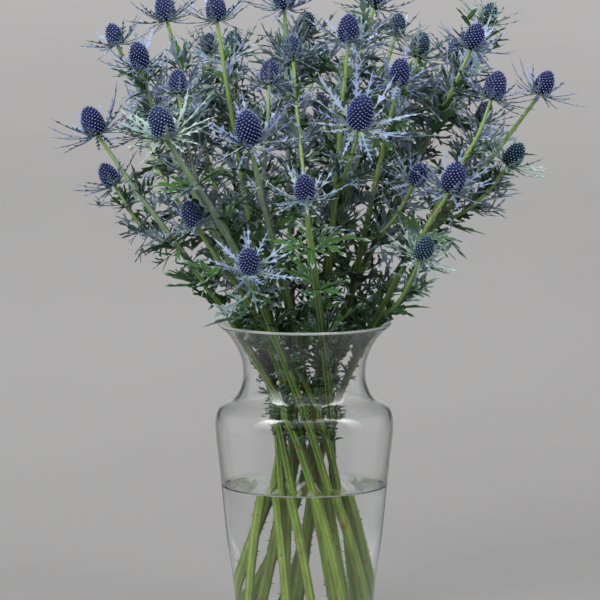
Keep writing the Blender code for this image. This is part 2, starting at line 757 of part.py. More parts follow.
def make_stem(stem, material):
    """A leafy stem in one skin: its branches and leaves grow from faces of short collars round it."""
    main, *branches = stem["lines"]
    growths = {}
    for branch in branches:
        out = branch["points"][2] - branch["points"][0]
        growths.setdefault(branch["fork"], []).append((out, grow_branch, branch))
    for leaf in stem["leaves"]:
        growths.setdefault(leaf["at"], []).append((leaf["out"], grow_leaf, leaf))
    places = {k: None for k in main["picked"] if k not in growths}
    for at in growths:
        places[at - COLLAR_STEP] = None
        places[at + COLLAR_STEP] = at
    bm = bmesh.new()
    across = np.array([1.0, 0.0, 0.0])
    low = None
    for place, at in sorted(places.items()):
        centre, radius = along_line(main, place)
        way = np.array([0, 0, 1.0]) if place == 0 else way_at(main, place)
        across = square_to(way, across)
        beside = np.cross(way, across)
        high = ring_of(bm, centre, radius, across, beside, STEM_SIDES)
        if low is None:
            bm.faces.new(high[::-1])
        elif at is not None:
            faces = share_faces(growths[at], across, beside)
            openings = wall(bm, low, high, faces)
            for face, (grow, growth) in faces.items():
                grow(bm, openings[face], growth, way, radius)
        else:
            wall(bm, low, high)
        low = high
    bm.faces.new(low)
    bmesh.ops.recalc_face_normals(bm, faces=bm.faces[:])
    return mesh_object("stem_" + stem["name"], bm, material)


def share_faces(growths, across, beside):
    """Gives each branch or leaf on a collar the free face that is nearest to its way out."""
    faces = {}
    for out, grow, growth in growths:
        turns = {k: math.tau * k / STEM_SIDES for k in range(STEM_SIDES) if k not in faces}
        nearest = max(turns, key=lambda k: out @ (across * math.cos(turns[k]) + beside * math.sin(turns[k])))
        faces[nearest] = (grow, growth)
    return faces


def grow_branch(bm, corners, branch, axis, stem_radius):
    """A four-sided branch from four corners of a collar, square to its own line once clear of the stem."""
    points = branch["points"]
    off = points - points[0]
    aside = np.linalg.norm(off - np.outer(off @ axis, axis), axis=1)
    clear = stem_radius + branch["radii"][0] + 2 * TOUCH_GAP
    first = float(np.interp(clear, np.maximum.accumulate(aside), np.arange(len(points))))
    low = list(corners)
    for place in [first] + [k for k in branch["picked"] if k > first + 0.5]:
        centre, radius = along_line(branch, place)
        way = way_at(branch, place)
        inner = square_to(way, axis if place == first else inner)
        side = np.cross(inner, way)
        spread = radius * BRANCH_CORNER
        high = [
            bm.verts.new(centre + side * spread * a + inner * spread * b)
            for a, b in ((-1, -1), (1, -1), (1, 1), (-1, 1))
        ]
        wall(bm, low, high)
        low = high
    bm.faces.new(low)


def grow_leaf(bm, corners, leaf, axis, stem_radius):
    """A leaf from four corners of a collar: a blade of three toothed lobes, thickest at its palm."""
    low_right, low_left, high_left, high_right = corners
    centre_lobe, right_lobe, left_lobe = leaf["lobes"]
    up = leaf["up"]
    way = unit(centre_lobe[-1] - centre_lobe[0])
    side = unit(np.cross(way, up))
    palm = centre_lobe[0]
    neck = palm - way * LEAF_THICKNESS * leaf["length"]
    tooth = BLADE_POINTS // 2
    edge = [neck - side * LEAF_NECK]
    for lobe, valley in ((left_lobe, None), (centre_lobe, left_lobe), (right_lobe, centre_lobe)):
        if valley is not None:
            edge.append(palm + ((lobe[2] + valley[2]) / 2 - palm) * VALLEY_REACH)
        out = unit(np.cross(unit(lobe[-1] - lobe[0]), up))
        half = leaf["length"] * (LOBE_WIDTH if lobe is centre_lobe else SIDE_LOBE_WIDTH)
        edge += [lobe[tooth] - out * half, lobe[-1], lobe[tooth] + out * half]
    edge.append(neck + side * LEAF_NECK)
    rim = [bm.verts.new(point) for point in edge]
    thick = up * LEAF_THICKNESS * leaf["length"] / 2
    top = bm.verts.new(palm + thick)
    under = bm.verts.new(palm - thick)
    for first, second in zip(rim, rim[1:]):
        bm.faces.new((second, first, top))
        bm.faces.new((first, second, under))
    for three in (
        (high_left, high_right, top),
        (rim[0], high_left, top),
        (high_right, rim[-1], top),
        (low_right, low_left, under),
        (low_left, rim[0], under),
        (rim[-1], low_right, under),
        (high_left, rim[0], low_left),
        (rim[-1], high_right, low_right),
    ):
        bm.faces.new(three)


def head_radius(share, head):
    """A head's radius at a share of its height: a cone with a round shoulder and a blunt top."""
    turn = math.pi * (HEAD_SHOULDER + (1 - HEAD_SHOULDER) * min(1.0, share)) ** HEAD_LEAN
    return head * HEAD_WIDTH / 2 * math.sin(turn) ** HEAD_FULLNESS


def make_bloom(bloom, material):
    """A bloom in one skin: the bracts grow from the ring under the head, whose every face is a floret."""
    bm = bmesh.new()
    axis = bloom["axis"]
    head = bloom["head"]
    first = bearing_start(axis)
    step = math.tau / HEAD_COLUMNS

    def ring(share, radius, turn):
        made = []
        for column in range(HEAD_COLUMNS):
            out = turned_about(first, axis, bloom["start"] + (column - 0.5 + turn) * step)
            made.append(bm.verts.new(bloom["base"] + axis * share * head + out * radius))
        return made

    foot = ring(0, BASE_RADIUS, 0)
    bm.faces.new(foot[::-1])
    collar = ring(COLLAR_SHARE, head_radius(COLLAR_SHARE, head), 0)
    for column, bract in enumerate(bloom["bracts"]):
        after = (column + 1) % HEAD_COLUMNS
        grow_bract(bm, (foot[column], foot[after], collar[after], collar[column]), bract, axis)
    low = collar
    for row in range(HEAD_ROWS):
        share = COLLAR_SHARE + (CROWN_SHARE - COLLAR_SHARE) * (row + 1) / HEAD_ROWS
        high = ring(share, head_radius(share, head), HEAD_TWIST * (row + 1))
        for column in range(HEAD_COLUMNS):
            after = (column + 1) % HEAD_COLUMNS
            raise_floret(bm, (low[column], low[after], high[after], high[column]), head)
        low = high
    apex = bm.verts.new(bloom["base"] + axis * head)
    for column in range(HEAD_COLUMNS):
        bm.faces.new((low[column], low[(column + 1) % HEAD_COLUMNS], apex))
    bmesh.ops.recalc_face_normals(bm, faces=bm.faces[:])
    return mesh_object(bloom["name"], bm, material)


def raise_floret(bm, corners, head):
    """A pointed floret on four corners of the head's skin."""
    places = [np.array(corner.co) for corner in corners]
    outward = unit(np.cross(places[1] - places[0], places[3] - places[0]))
    tip = bm.verts.new(sum(places) / 4 + outward * FLORET_RISE * head)
    for one, two in zip(corners, corners[1:] + corners[:1]):
        bm.faces.new((one, two, tip))


def grow_bract(bm, corners, bract, axis):
    """A spiny bract from four corners of the collar: a narrow neck, a pair of teeth and a long point."""
    line = bract["line"]
    lower_left, lower_right, upper_right, upper_left = corners
    rows = []
    for at, half in ((3, BRACT_NECK * BRACT_HALF_WIDTH), (5, BRACT_HALF_WIDTH)):
        way = unit(line[at + 1] - line[at - 1])
        side = unit(np.cross(axis, way))
        thick = unit(np.cross(way, side)) * BRACT_THICKNESS * bract["length"]
        left, right = line[at] - side * half * bract["length"], line[at] + side * half * bract["length"]
        rows.append([bm.verts.new(p) for p in (left, right, line[at] + thick)])
    neck, teeth = rows
    bm.faces.new((lower_left, lower_right, neck[1], neck[0]))
    bm.faces.new((lower_right, upper_right, neck[1]))
    bm.faces.new((upper_right, neck[2], neck[1]))
    bm.faces.new((upper_right, upper_left, neck[2]))
    bm.faces.new((upper_left, neck[0], neck[2]))
    bm.faces.new((upper_left, lower_left, neck[0]))
    tip = bm.verts.new(line[-1])
    for k in range(3):
        after = (k + 1) % 3
        bm.faces.new((neck[k], neck[after], teeth[after], teeth[k]))
        bm.faces.new((teeth[k], teeth[after], tip))


def plain_material(name, colour, roughness, transmission=0.0):
    """A Principled material."""
    material = bpy.data.materials.new(name)
    material.use_nodes = True
    shader = material.node_tree.nodes["Principled BSDF"]
    shader.inputs["Base Color"].default_value = (*colour, 1)
    shader.inputs["Roughness"].default_value = roughness
    shader.inputs["Transmission Weight"].default_value = transmission
    return material


def main():
    for obj in list(bpy.data.objects):
        bpy.data.objects.remove(obj)
    glass = plain_material("clear_glass", (0.93, 0.95, 0.94), 0.02, 1.0)
    water = plain_material("water", (0.95, 0.98, 0.97), 0.0, 1.0)
    green = plain_material("stem_green", (0.16, 0.27, 0.10), 0.5)
    blue = plain_material("bloom_blue", (0.12, 0.16, 0.42), 0.55)
    stems = lay_out_bunch()
    make_vase(glass)
    make_water(stems, water)
    for stem in stems:
        make_stem(stem, green)
        for bloom in stem["blooms"]:
            make_bloom(bloom, blue)


if __name__ == "__main__":
    main()
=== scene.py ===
"""Cut sea holly standing in a clear glass vase of water.

Metres, +Z up. The origin is the middle of the vase's base, and the front of the bunch faces -Y. The stems, bracts
and leaves are laid out as the solids are, and then dressed: toothed blades, buds in spirals, prickly stems, clear
glass and water.
"""

import math
import random

import bpy
import numpy as np
from mathutils import Matrix


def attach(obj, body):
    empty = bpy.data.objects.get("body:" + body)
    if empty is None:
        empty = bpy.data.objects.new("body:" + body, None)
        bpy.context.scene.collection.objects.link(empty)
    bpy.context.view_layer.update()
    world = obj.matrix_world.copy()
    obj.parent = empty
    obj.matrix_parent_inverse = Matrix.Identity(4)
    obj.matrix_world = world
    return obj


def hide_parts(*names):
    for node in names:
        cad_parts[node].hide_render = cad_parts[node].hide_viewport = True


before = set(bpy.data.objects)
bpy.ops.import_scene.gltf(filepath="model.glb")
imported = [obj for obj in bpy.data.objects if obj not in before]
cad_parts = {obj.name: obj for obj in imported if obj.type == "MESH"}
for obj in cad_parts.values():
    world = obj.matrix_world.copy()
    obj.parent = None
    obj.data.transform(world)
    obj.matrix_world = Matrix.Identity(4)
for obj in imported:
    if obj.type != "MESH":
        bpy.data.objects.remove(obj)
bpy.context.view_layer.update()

MM = 0.001
TOUCH_GAP = 0.3 * MM
SEED = 5

# The outside of the vase that the layout keeps within, from its foot to its lip, as radius and height in mm
VASE_OUTLINE_MM = (
    (58.8, 3.5), (60.1, 16.0), (63.4, 45.0), (69.2, 92.0), (73.8, 136.0), (76.4, 164.0), (73.6, 180.0),
    (63.5, 187.5), (55.0, 197.0), (52.6, 211.0), (56.0, 230.0), (64.2, 244.0), (74.8, 251.8),
)
VASE_WALL = 2.8 * MM
VASE_FLOOR = 9.0 * MM
FLOOR_CORNER = 3.0 * MM
VASE_SIDES = 24
RIM_HEIGHT = 254.0 * MM

# Water
WATER_LEVEL = 113.5 * MM

# Bunch: the stems pass the waist in two rings, and stand on the vase's floor in two wider ones
WAIST_HEIGHT = 158.0 * MM
WAIST_RADIUS = {"outer": 23.5 * MM, "inner": 10.5 * MM}
FOOT_RADIUS = {"outer": 47.0 * MM, "inner": 28.0 * MM}
WAIST_TURN = math.radians(75)
FOOT_TURN = {"outer": math.radians(64), "inner": math.radians(70)}
EVEN_BEARINGS = 0.65

# Lines are bent clear by small pushes, and each push spreads along its line
STEM_POINTS = 56
BRANCH_POINTS = 14
STEM_GAP = 3.0 * MM
STEM_TOLERANCE = 0.9 * MM
BEND_ROUNDS = 260
BEND_PUSH = 0.3
BEND_SPREAD = 0.4
STIFF_END = 1 / 6
HEAD_REACH = 0.62
BRANCH_START = 2
NEAR_ROUNDS = 16
NEAR_MARGIN = 9.0 * MM

# A stem thins from its cut foot to its bloom
FOOT_THICKNESS = 9.0 * MM
WAIST_THICKNESS = 8.2 * MM
FORK_THICKNESS = 5.2 * MM
TIP_THICKNESS = 3.0 * MM
BRANCH_THICKNESS = 3.6 * MM
LOWEST_FORK = 268.0 * MM
FORK_SPACING = 4
SHORTEST_BRANCH = 62.0 * MM
SHORTEST_STALK = 44.0 * MM
BRANCH_SLOPE = 1.25
BRANCH_RISE = 1.15
BRANCH_KNEE = 0.36
BRANCH_END = 0.16
SAME_SIDE = 0.5
STALK_PULL = 0.8
UPRIGHT_PULL = 0.35

# Each stem: its ring at the waist, and its blooms. The first bloom ends the stem, and the others are on its
# branches. A bloom is how far its head's middle is to the right, towards the front and up, and its head's
# height, all in mm.
STEMS = {
    "far_left": ("outer", ((-181, 0, 428, 27), (-168, -10, 381, 22))),
    "upper_left": ("inner", ((-162, 0, 502, 20), (-140, 35, 487, 24))),
    "front_left": ("outer", ((-119, 115, 437, 30), (-106, 70, 467, 22))),
    "back_left": ("outer", ((-120, -40, 522, 24), (-144, -110, 416, 22), (-83, -100, 487, 20))),
    "rear_left": (
        "outer",
        ((-75, 20, 526, 24), (-61, -70, 490, 22), (-103, -80, 371, 22), (-55, -140, 350, 22)),
    ),
    "front_mid_left": ("inner", ((-47, 105, 432, 31), (-29, 65, 475, 22))),
    "low_left": ("outer", ((-95, 85, 358, 23), (-46, 130, 324, 25))),
    "front_middle": ("outer", ((0, 135, 385, 24), (-10, 50, 494, 22))),
    "middle": ("inner", ((-17, -5, 535, 25), (1, -40, 507, 25), (15, -130, 476, 22))),
    "front_mid_right": ("inner", ((37, 55, 511, 25), (47, 110, 446, 32), (61, -15, 535, 25))),
    "rear_right": (
        "outer",
        ((81, -90, 504, 21), (16, -110, 431, 24), (112, -110, 443, 24), (45, -145, 400, 22)),
    ),
    "upper_right": ("outer", ((80, 60, 475, 24), (99, 0, 493, 23), (96, 62, 389, 21))),
    "low_right": ("outer", ((125, 88, 389, 28), (101, 75, 328, 22), (161, 45, 462, 26))),
    "back_right": ("inner", ((144, 25, 502, 24), (159, -40, 517, 20), (132, -75, 484, 20))),
    "far_right": ("outer", ((205, -5, 460, 23), (179, 15, 401, 23), (157, -80, 429, 20))),
}

# Bloom: a head's width is a share of its height, and a bract's half width a share of its length
HEAD_WIDTH = 0.74
HEAD_SHOULDER = 0.16
HEAD_LEAN = 0.86
HEAD_FULLNESS = 0.62
HEAD_COLUMNS = 7
COLLAR_SHARE = 0.12
BASE_RADIUS = 2.6 * MM
HEAD_GAP = 2.4 * MM
BRACT_ROOT = 0.72
BRACT_LENGTH = 1.5
BRACT_HALF_WIDTH = 0.065
BRACT_CORE = 1.0 * MM
BRACT_STRAY = 0.18
BRACT_RISE = (-10, 26)
BRACT_CURL = (6, 44)

# Leaf: its lobes' half width is a share of its length
LEAF_LOBES = (0.0, 42.0, -42.0)
SIDE_LOBE = 0.66
LOBE_WIDTH = 0.078
LEAF_STALK = 9.5 * MM
LEAF_NECK = 1.9 * MM
LEAF_CORE = 1.6 * MM
LEAF_CLEARS_RIM = 4.0 * MM
LEAF_RISE = (17, 40)
LEAF_CURL = (-45, 0)
LOWEST_PAIR_RISE = 8
LOWEST_PAIR_AT = 0.4
FORK_LEAVES = 3
FORK_LEAF_LENGTH = 46.0 * MM
LEAF_PAIR_SPACING = 44.0 * MM
STEM_LEAF_LENGTH = 54.0 * MM
LOWEST_LEAF = 226.0 * MM
WHORL_STRAY = 0.12
PAIR_STRAY = 0.4
BEARING_STEPS = 24

# A blade is kept clear by spheres along its middle line, and shrinks a little with each try
BLADE_POINTS = 9
BLADE_SPHERES = 14
ROOT_SPHERES = 2
BLADE_GAP = 0.8 * MM
BRACT_TRIES = 26
BRACT_SHRINK = 0.026
LEAF_TRIES = 20
LEAF_SHRINK = 0.018
LENGTH_SPREAD = (0.86, 1.14)


# Camera, as the photograph was taken
CAMERA_TARGET = (-0.0037, 0.0, 0.274)
CAMERA_DISTANCE = 3.942
CAMERA_ELEVATION = math.radians(7.3)
CAMERA_HALF_VIEW = math.radians(3.73)

# Finer outline of the glass, from its foot to its lip, as radius and height in mm, and the turns of its round lip
GLASS_OUTLINE_MM = (
    (51.5, 0.0), (56.4, 1.0), (58.8, 4.2), (60.1, 18.0), (63.4, 45.8), (66.2, 64.0), (69.2, 92.0),
    (71.6, 116.6), (73.6, 135.7), (75.6, 153.0), (76.5, 165.7), (76.0, 173.6), (73.2, 180.6), (66.4, 185.9),
    (59.2, 189.8), (54.8, 198.1), (52.7, 210.2), (53.5, 220.7), (56.6, 230.6), (63.4, 242.2), (74.2, 253.2),
)
LIP_TURNS = np.linspace(0.25, 2.89, 13)
GLASS_SIDES = 144
GLASS_POINTS = 96
WATER_OVERLAP = 0.35 * MM
MENISCUS = ((0.35, 1.5), (0.9, 0.75), (1.8, 0.3), (3.4, 0.05))

# Dressed blooms. A bud's rings are its heights and radii, at size 1
FLORETS = 160
USUAL_HEAD = 24 * MM
BUD_SIDES = 5
BUD_RINGS = ((0.0, 0.8), (0.75, 0.6), (1.3, 0.46))
BUD_TIP = 1.75
BUD_SIZE = 0.5
SPINES_PER_FLORET = 2
SPINE_THICKNESS = 0.42 * MM
CORE_WIDTH = 0.83
CORE_HEIGHT = 0.95
CORE_SHARES = np.array([0.0, 0.03, 0.08, 0.15, 0.24, 0.36, 0.5, 0.64, 0.77, 0.88, 0.95, 0.985])
WIDEST_SHARE = 0.38

# Small bracts above and under the ruff: how many, their rises and curls in degrees, and their lengths in heads
SMALL_BRACTS = ((8, (12, 42), (-10, 30), (1.25, 1.8)), (8, (-38, 0), (-15, 45), (0.7, 1.15)))
SMALL_TRIES = 8
SMALL_GAP = 0.1 * MM
BRACT_TEETH = (3, 4, 5, 6)

# How green the heads are that aren't blue, and how silver some ruffs are
GREENER = {
    "rear_left_2": 0.75, "middle_2": 0.7, "rear_right_1": 0.65, "upper_right_2": 0.9, "back_right_2": 0.9,
    "far_right_2": 0.8, "low_right_2": 0.85, "rear_right_3": 0.4, "front_left_1": 0.3, "upper_left_1": 0.2,
    "front_middle_2": 0.25, "back_left_3": 0.3,
}
SILVER_BRACTS = {"front_left_1": 1.0, "middle_2": 0.5, "rear_left_2": 0.5}
# Bud colours from foot to tip: the near-black feet are painted shade between the buds, over their own deep indigo
FLORET_PLACES = (0.0, 0.36, 0.6, 0.84, 0.97)
FLORET_BLUES = (
    (0.002, 0.003, 0.014), (0.011, 0.016, 0.065), (0.05, 0.066, 0.2), (0.1, 0.13, 0.29), (0.36, 0.4, 0.38),
)
FLORET_TEALS = (
    (0.002, 0.007, 0.012), (0.009, 0.032, 0.045), (0.034, 0.09, 0.125), (0.085, 0.18, 0.19), (0.36, 0.42, 0.27),
)

# Dressed stems. Prickles and scars: how many, how thick, how long, and the tint of their feet
TUBE_STEP = 3.6 * MM
STEM_ROUND = 12
BRANCH_ROUND = 8
RIBS = 4
RIB_DEPTH = 0.035
# Every other corner round a stem is marked for a pale stripe: the stem's own ribs, made lighter as painted highlight
# streaks
STRIPE_EDGE = 0.25
NODE_SWELLING = 0.24
NODE_REACH = 4.5 * MM
PALE_STALK = 38 * MM
PRICKLES = ((130, 1.3 * MM, 2.2 * MM, 0.6), (34, 3.1 * MM, 1.0 * MM, 1))
PRICKLE_TOP = 0.25
GOLDEN_ANGLE = math.pi * (3 - math.sqrt(5))

# Small leaves, in whorls: how many, their rises and curls in degrees, how many of them are fine, and their length
WHORLS = {
    "neck": (4, (10, 70), (-60, 90), 0.0, None),
    "drooping": (5, (-10, 34), (-70, 45), 0.25, 50 * MM),
    "low": (5, (30, 78), (-70, 45), 0.25, 42 * MM),
    "high": (9, (10, 76), (-70, 55), 0.5, 40 * MM),
    "branch": (7, (5, 72), (-70, 60), 0.6, 39 * MM),
}
NECK_LEAVES = (0.146, 0.238)
NECK_HEIGHTS = (0.15, 0.2, 0.235)
NECK_LENGTHS_MM = (14, 20, 34)
NECK_BREADTH = 1.9
LOW_LEAVES = 0.24
HIGH_LEAVES = 0.335
BARE_STALK = 38 * MM
BRANCH_WHORLS = (0.13, 0.25, 0.36, 0.47, 0.57, 0.67, 0.77)
SIDE_LOBES = (0.22, 0.3, 0.48, 0.58)
LEAF_TO_GLASS = 2.5 * MM
BROAD_HALF, BROAD_SPINE = 0.037, 0.072
FINE_HALF, FINE_SPINE = 0.014, 0.055

# Leaves that would hide the stems from the front are left out this often, most of all low on the front stems
HIDING_SHARE = 0.85
FRONT_HALF = 20 * MM
LOW_FRONT = (0.25, 0.42)

# Studio: the floor, the lamps' places, targets, sizes and watts, and the bearings, half widths and strengths of
# the boxes that the glass mirrors
FLOOR_HALF_WIDTH = 1.05
FLOOR_FRONT = -1.6
FLOOR_BACK = 40.0
LAMPS = (
    ("left_softbox", (-2.0, -2.2, 2.2), (0, 0, 0.36), (2.6, 2.8), 300),
    ("right_softbox", (2.3, -1.3, 2.0), (0, 0, 0.36), (2.0, 2.4), 120),
    ("back_softbox", (-0.6, 2.0, 2.3), (0, 0, 0.4), (1.8, 0.9), 110),
)
SOFT_BOXES = ((math.radians(-57), 0.3, 9), (math.radians(71), 0.25, 7))
SOFT_BOX_TALLNESS = 4.0


def unit(vector):
    """The vector at length 1."""
    vector = np.asarray(vector, float)
    return vector / max(np.linalg.norm(vector), 1e-9)


def turned_about(vector, axis, angle):
    """The vector turned about a unit axis."""
    along = axis * (vector @ axis)
    across = vector - along
    return along + across * math.cos(angle) + np.cross(axis, across) * math.sin(angle)


def square_to(axis, towards):
    """The unit vector nearest to towards that is square to the axis."""
    return unit(towards - axis * (np.asarray(towards, float) @ axis))


def bearing_start(axis):
    """The direction round an axis that bearings are counted from."""
    return square_to(axis, np.array([1.0, 0.2, 0.1]))


def bearing_of(way, axis):
    """The bearing of a direction round an axis."""
    first = bearing_start(axis)
    return math.atan2(way @ np.cross(axis, first), way @ first)


def run_along(line):
    """How far along a line of points each of them is."""
    return np.concatenate([[0], np.cumsum(np.linalg.norm(np.diff(line, axis=0), axis=1))])


def between(wanted, at, points):
    """The places on a line at the wanted values of at, which is given for each of its points."""
    return np.stack([np.interp(wanted, at, points[:, k]) for k in range(3)], axis=-1)


def evenly(line, count):
    """count points at even spacing along a line of points."""
    run = run_along(line)
    return between(np.linspace(0, run[-1], count), run, line)


def at_shares(line, shares):
    """The points of a line at shares of its length."""
    run = run_along(line)
    return between(shares * run[-1], run, line)


def smooth_curve(knots, count):
    """count points at even spacing on a smooth curve through the knots."""
    knots = np.asarray(knots, float)
    steps = np.linalg.norm(np.diff(knots, axis=0), axis=1)
    at = run_along(knots)
    slopes = np.gradient(knots, at, axis=0)
    fine = np.linspace(0, at[-1], 12 * len(knots))
    span = np.clip(np.searchsorted(at, fine, side="right") - 1, 0, len(steps) - 1)
    t = ((fine - at[span]) / steps[span])[:, None]
    rise = steps[span][:, None]
    curve = (
        (2 * t**3 - 3 * t**2 + 1) * knots[span]
        + (t**3 - 2 * t**2 + t) * rise * slopes[span]
        + (3 * t**2 - 2 * t**3) * knots[span + 1]
        + (t**3 - t**2) * rise * slopes[span + 1]
    )
    return evenly(curve, count)


def wall_inside(outside):
    """The inside of the vase's wall as radius and height, from lip to floor."""
    way = np.gradient(outside, axis=0)
    way /= np.linalg.norm(way, axis=1)[:, None]
    inward = np.stack([-way[:, 1], way[:, 0]], axis=1)
    inside = (outside + inward * VASE_WALL)[::-1]
    return inside[inside[:, 1] > VASE_FLOOR + FLOOR_CORNER]


FLAT_INSIDE = wall_inside(np.array(VASE_OUTLINE_MM) * MM)[::-1]


def room_radius(height):
    """How far from the axis there is room at that height: the wall's inside is made of flat sides."""
    return np.interp(height, FLAT_INSIDE[:, 1], FLAT_INSIDE[:, 0]) * math.cos(math.pi / VASE_SIDES)


# Layout of the bunch

def place_of(bloom):
    """The middle of a bloom's head in metres."""
    right, front, up, _ = bloom
    return np.array([right, -front, up]) * MM


def stem_radii(points, fork_height):
    """A stem's half thickness at each of its points."""
    heights = (0, WAIST_HEIGHT, fork_height, points[-1][2])
    widths = (FOOT_THICKNESS, WAIST_THICKNESS, FORK_THICKNESS, TIP_THICKNESS)
    return np.interp(points[:, 2], heights, widths) / 2


def set_bloom(bloom, carried_from):
    """Tilts a bloom the way its stalk comes up to it, and finds where its head starts."""
    middle = place_of(bloom)
    head = bloom[3] * MM
    axis = unit(STALK_PULL * unit(middle - carried_from) + np.array([0, 0, UPRIGHT_PULL]))
    return {"middle": middle, "axis": axis, "head": head, "base": middle - axis * head / 2}


def stem_bearings():
    """The bearing at the waist of each stem, evenly round its ring and in the order of their blooms."""
    bearings = {}
    for ring in WAIST_RADIUS:
        members = []
        for name, (where, blooms) in STEMS.items():
            if where == ring:
                middle = sum(place_of(bloom) for bloom in blooms)
                members.append((math.atan2(middle[1], middle[0]), name))
        members.sort()
        step = math.tau / len(members)
        drift = sum(bearing - k * step for k, (bearing, _) in enumerate(members)) / len(members)
        for k, (bearing, name) in enumerate(members):
            even = drift + k * step
            bearings[name] = bearing + (even - bearing) * EVEN_BEARINGS + WAIST_TURN
    return bearings


def around(radius, bearing, height):
    """The point at a radius and bearing round the vase's axis, and a height."""
    return np.array([radius * math.cos(bearing), radius * math.sin(bearing), height])


def own_side(main, fork, end, sides):
    """The fork, the line's direction and the side that a branch leaves to, which no other branch has."""
    while True:
        leaving = unit(main[fork + 1] - main[fork - 1])
        later = main[min(fork + 2 * FORK_SPACING, STEM_POINTS - 1)]
        aside = square_to(leaving, end - later)
        if all(aside @ other < SAME_SIDE for other in sides.get(fork, ())):
            sides.setdefault(fork, []).append(aside)
            return fork, leaving, aside
        fork += FORK_SPACING


def lay_out_stem(name, bearing):
    """One stem's lines: the stem to its end bloom, then a branch for each other bloom."""
    ring, places = STEMS[name]
    waist = around(WAIST_RADIUS[ring], bearing, WAIST_HEIGHT)
    foot = around(FOOT_RADIUS[ring], bearing + FOOT_TURN[ring], VASE_FLOOR + TOUCH_GAP)
    blooms = [set_bloom(places[0], (waist + place_of(places[0])) / 2)]
    main = smooth_curve([foot, waist, blooms[0]["base"] - blooms[0]["axis"] * TOUCH_GAP], STEM_POINTS)
    lines = []
    sides = {}
    for place in places[1:]:
        target = place_of(place)
        beside = main[np.argmin(abs(main[:, 2] - target[2]))]
        aside = np.linalg.norm((target - beside)[:2])
        drop = max(SHORTEST_BRANCH, BRANCH_SLOPE * aside)
        highest = min(target[2] - drop, main[-1][2] - SHORTEST_STALK)
        height = max(LOWEST_FORK, highest)
        fork = int(np.argmin(abs(main[:, 2] - height)))
        fork = next((other for other in sides if abs(other - fork) < FORK_SPACING), fork)
        bloom = set_bloom(place, main[fork])
        end = bloom["base"] - bloom["axis"] * TOUCH_GAP
        reach = np.linalg.norm(end - main[fork])
        fork, leaving, aside = own_side(main, fork, end, sides)
        knee = main[fork] + unit(leaving * BRANCH_RISE + aside) * reach * BRANCH_KNEE
        straight = end - bloom["axis"] * reach * BRANCH_END
        lines.append({
            "points": smooth_curve([main[fork], knee, straight, end], BRANCH_POINTS),
            "radii": np.linspace(BRANCH_THICKNESS, TIP_THICKNESS, BRANCH_POINTS) / 2,
            "fork": fork,
        })
        blooms.append(bloom)
    lowest = main[min(sides)][2]
    radii = stem_radii(main, lowest)
    lines.insert(0, {"points": main, "radii": radii, "fork": None})
    return {"name": name, "lines": lines, "blooms": blooms, "forks": sorted(sides)}


def looseness(line):
    """How freely each point of a line may be pushed: a line's ends stay, but a branch goes with its fork."""
    along = np.linspace(0, 1, len(line["points"]))
    ease = np.minimum(1, (1 - along) / STIFF_END)
    return ease * np.minimum(1, along / STIFF_END) if line["fork"] is None else ease


def stations(points, keep, tolerance):
    """Which points of a line are enough to draw it within the tolerance, the ones in keep among them."""
    picked = sorted({0, len(points) - 1, *keep})
    spans = list(zip(picked, picked[1:]))
    while spans:
        low, high = spans.pop()
        if high - low < 2:
            continue
        chord = unit(points[high] - points[low])
        off = points[low + 1 : high] - points[low]
        far = np.linalg.norm(off - np.outer(off @ chord, chord), axis=1)
        if far.max() > tolerance:
            middle = low + 1 + int(far.argmax())
            picked.append(middle)
            spans += [(low, middle), (middle, high)]
    return sorted(picked)


def straighten(line, keep, tolerance):
    """Puts a line's points on the straight runs between its stations."""
    points = line["points"]
    picked = stations(points, keep, tolerance)
    line["points"] = between(np.arange(len(points)), picked, points[picked])
    line["picked"] = picked


def close_pairs(points, others, needed, free):
    """The pairs of a point and another that are too close, or may soon be."""
    far = np.sqrt(((points[:, None, :] - others[None, :, :]) ** 2).sum(axis=2))
    return np.nonzero(free & (far < needed + NEAR_MARGIN))


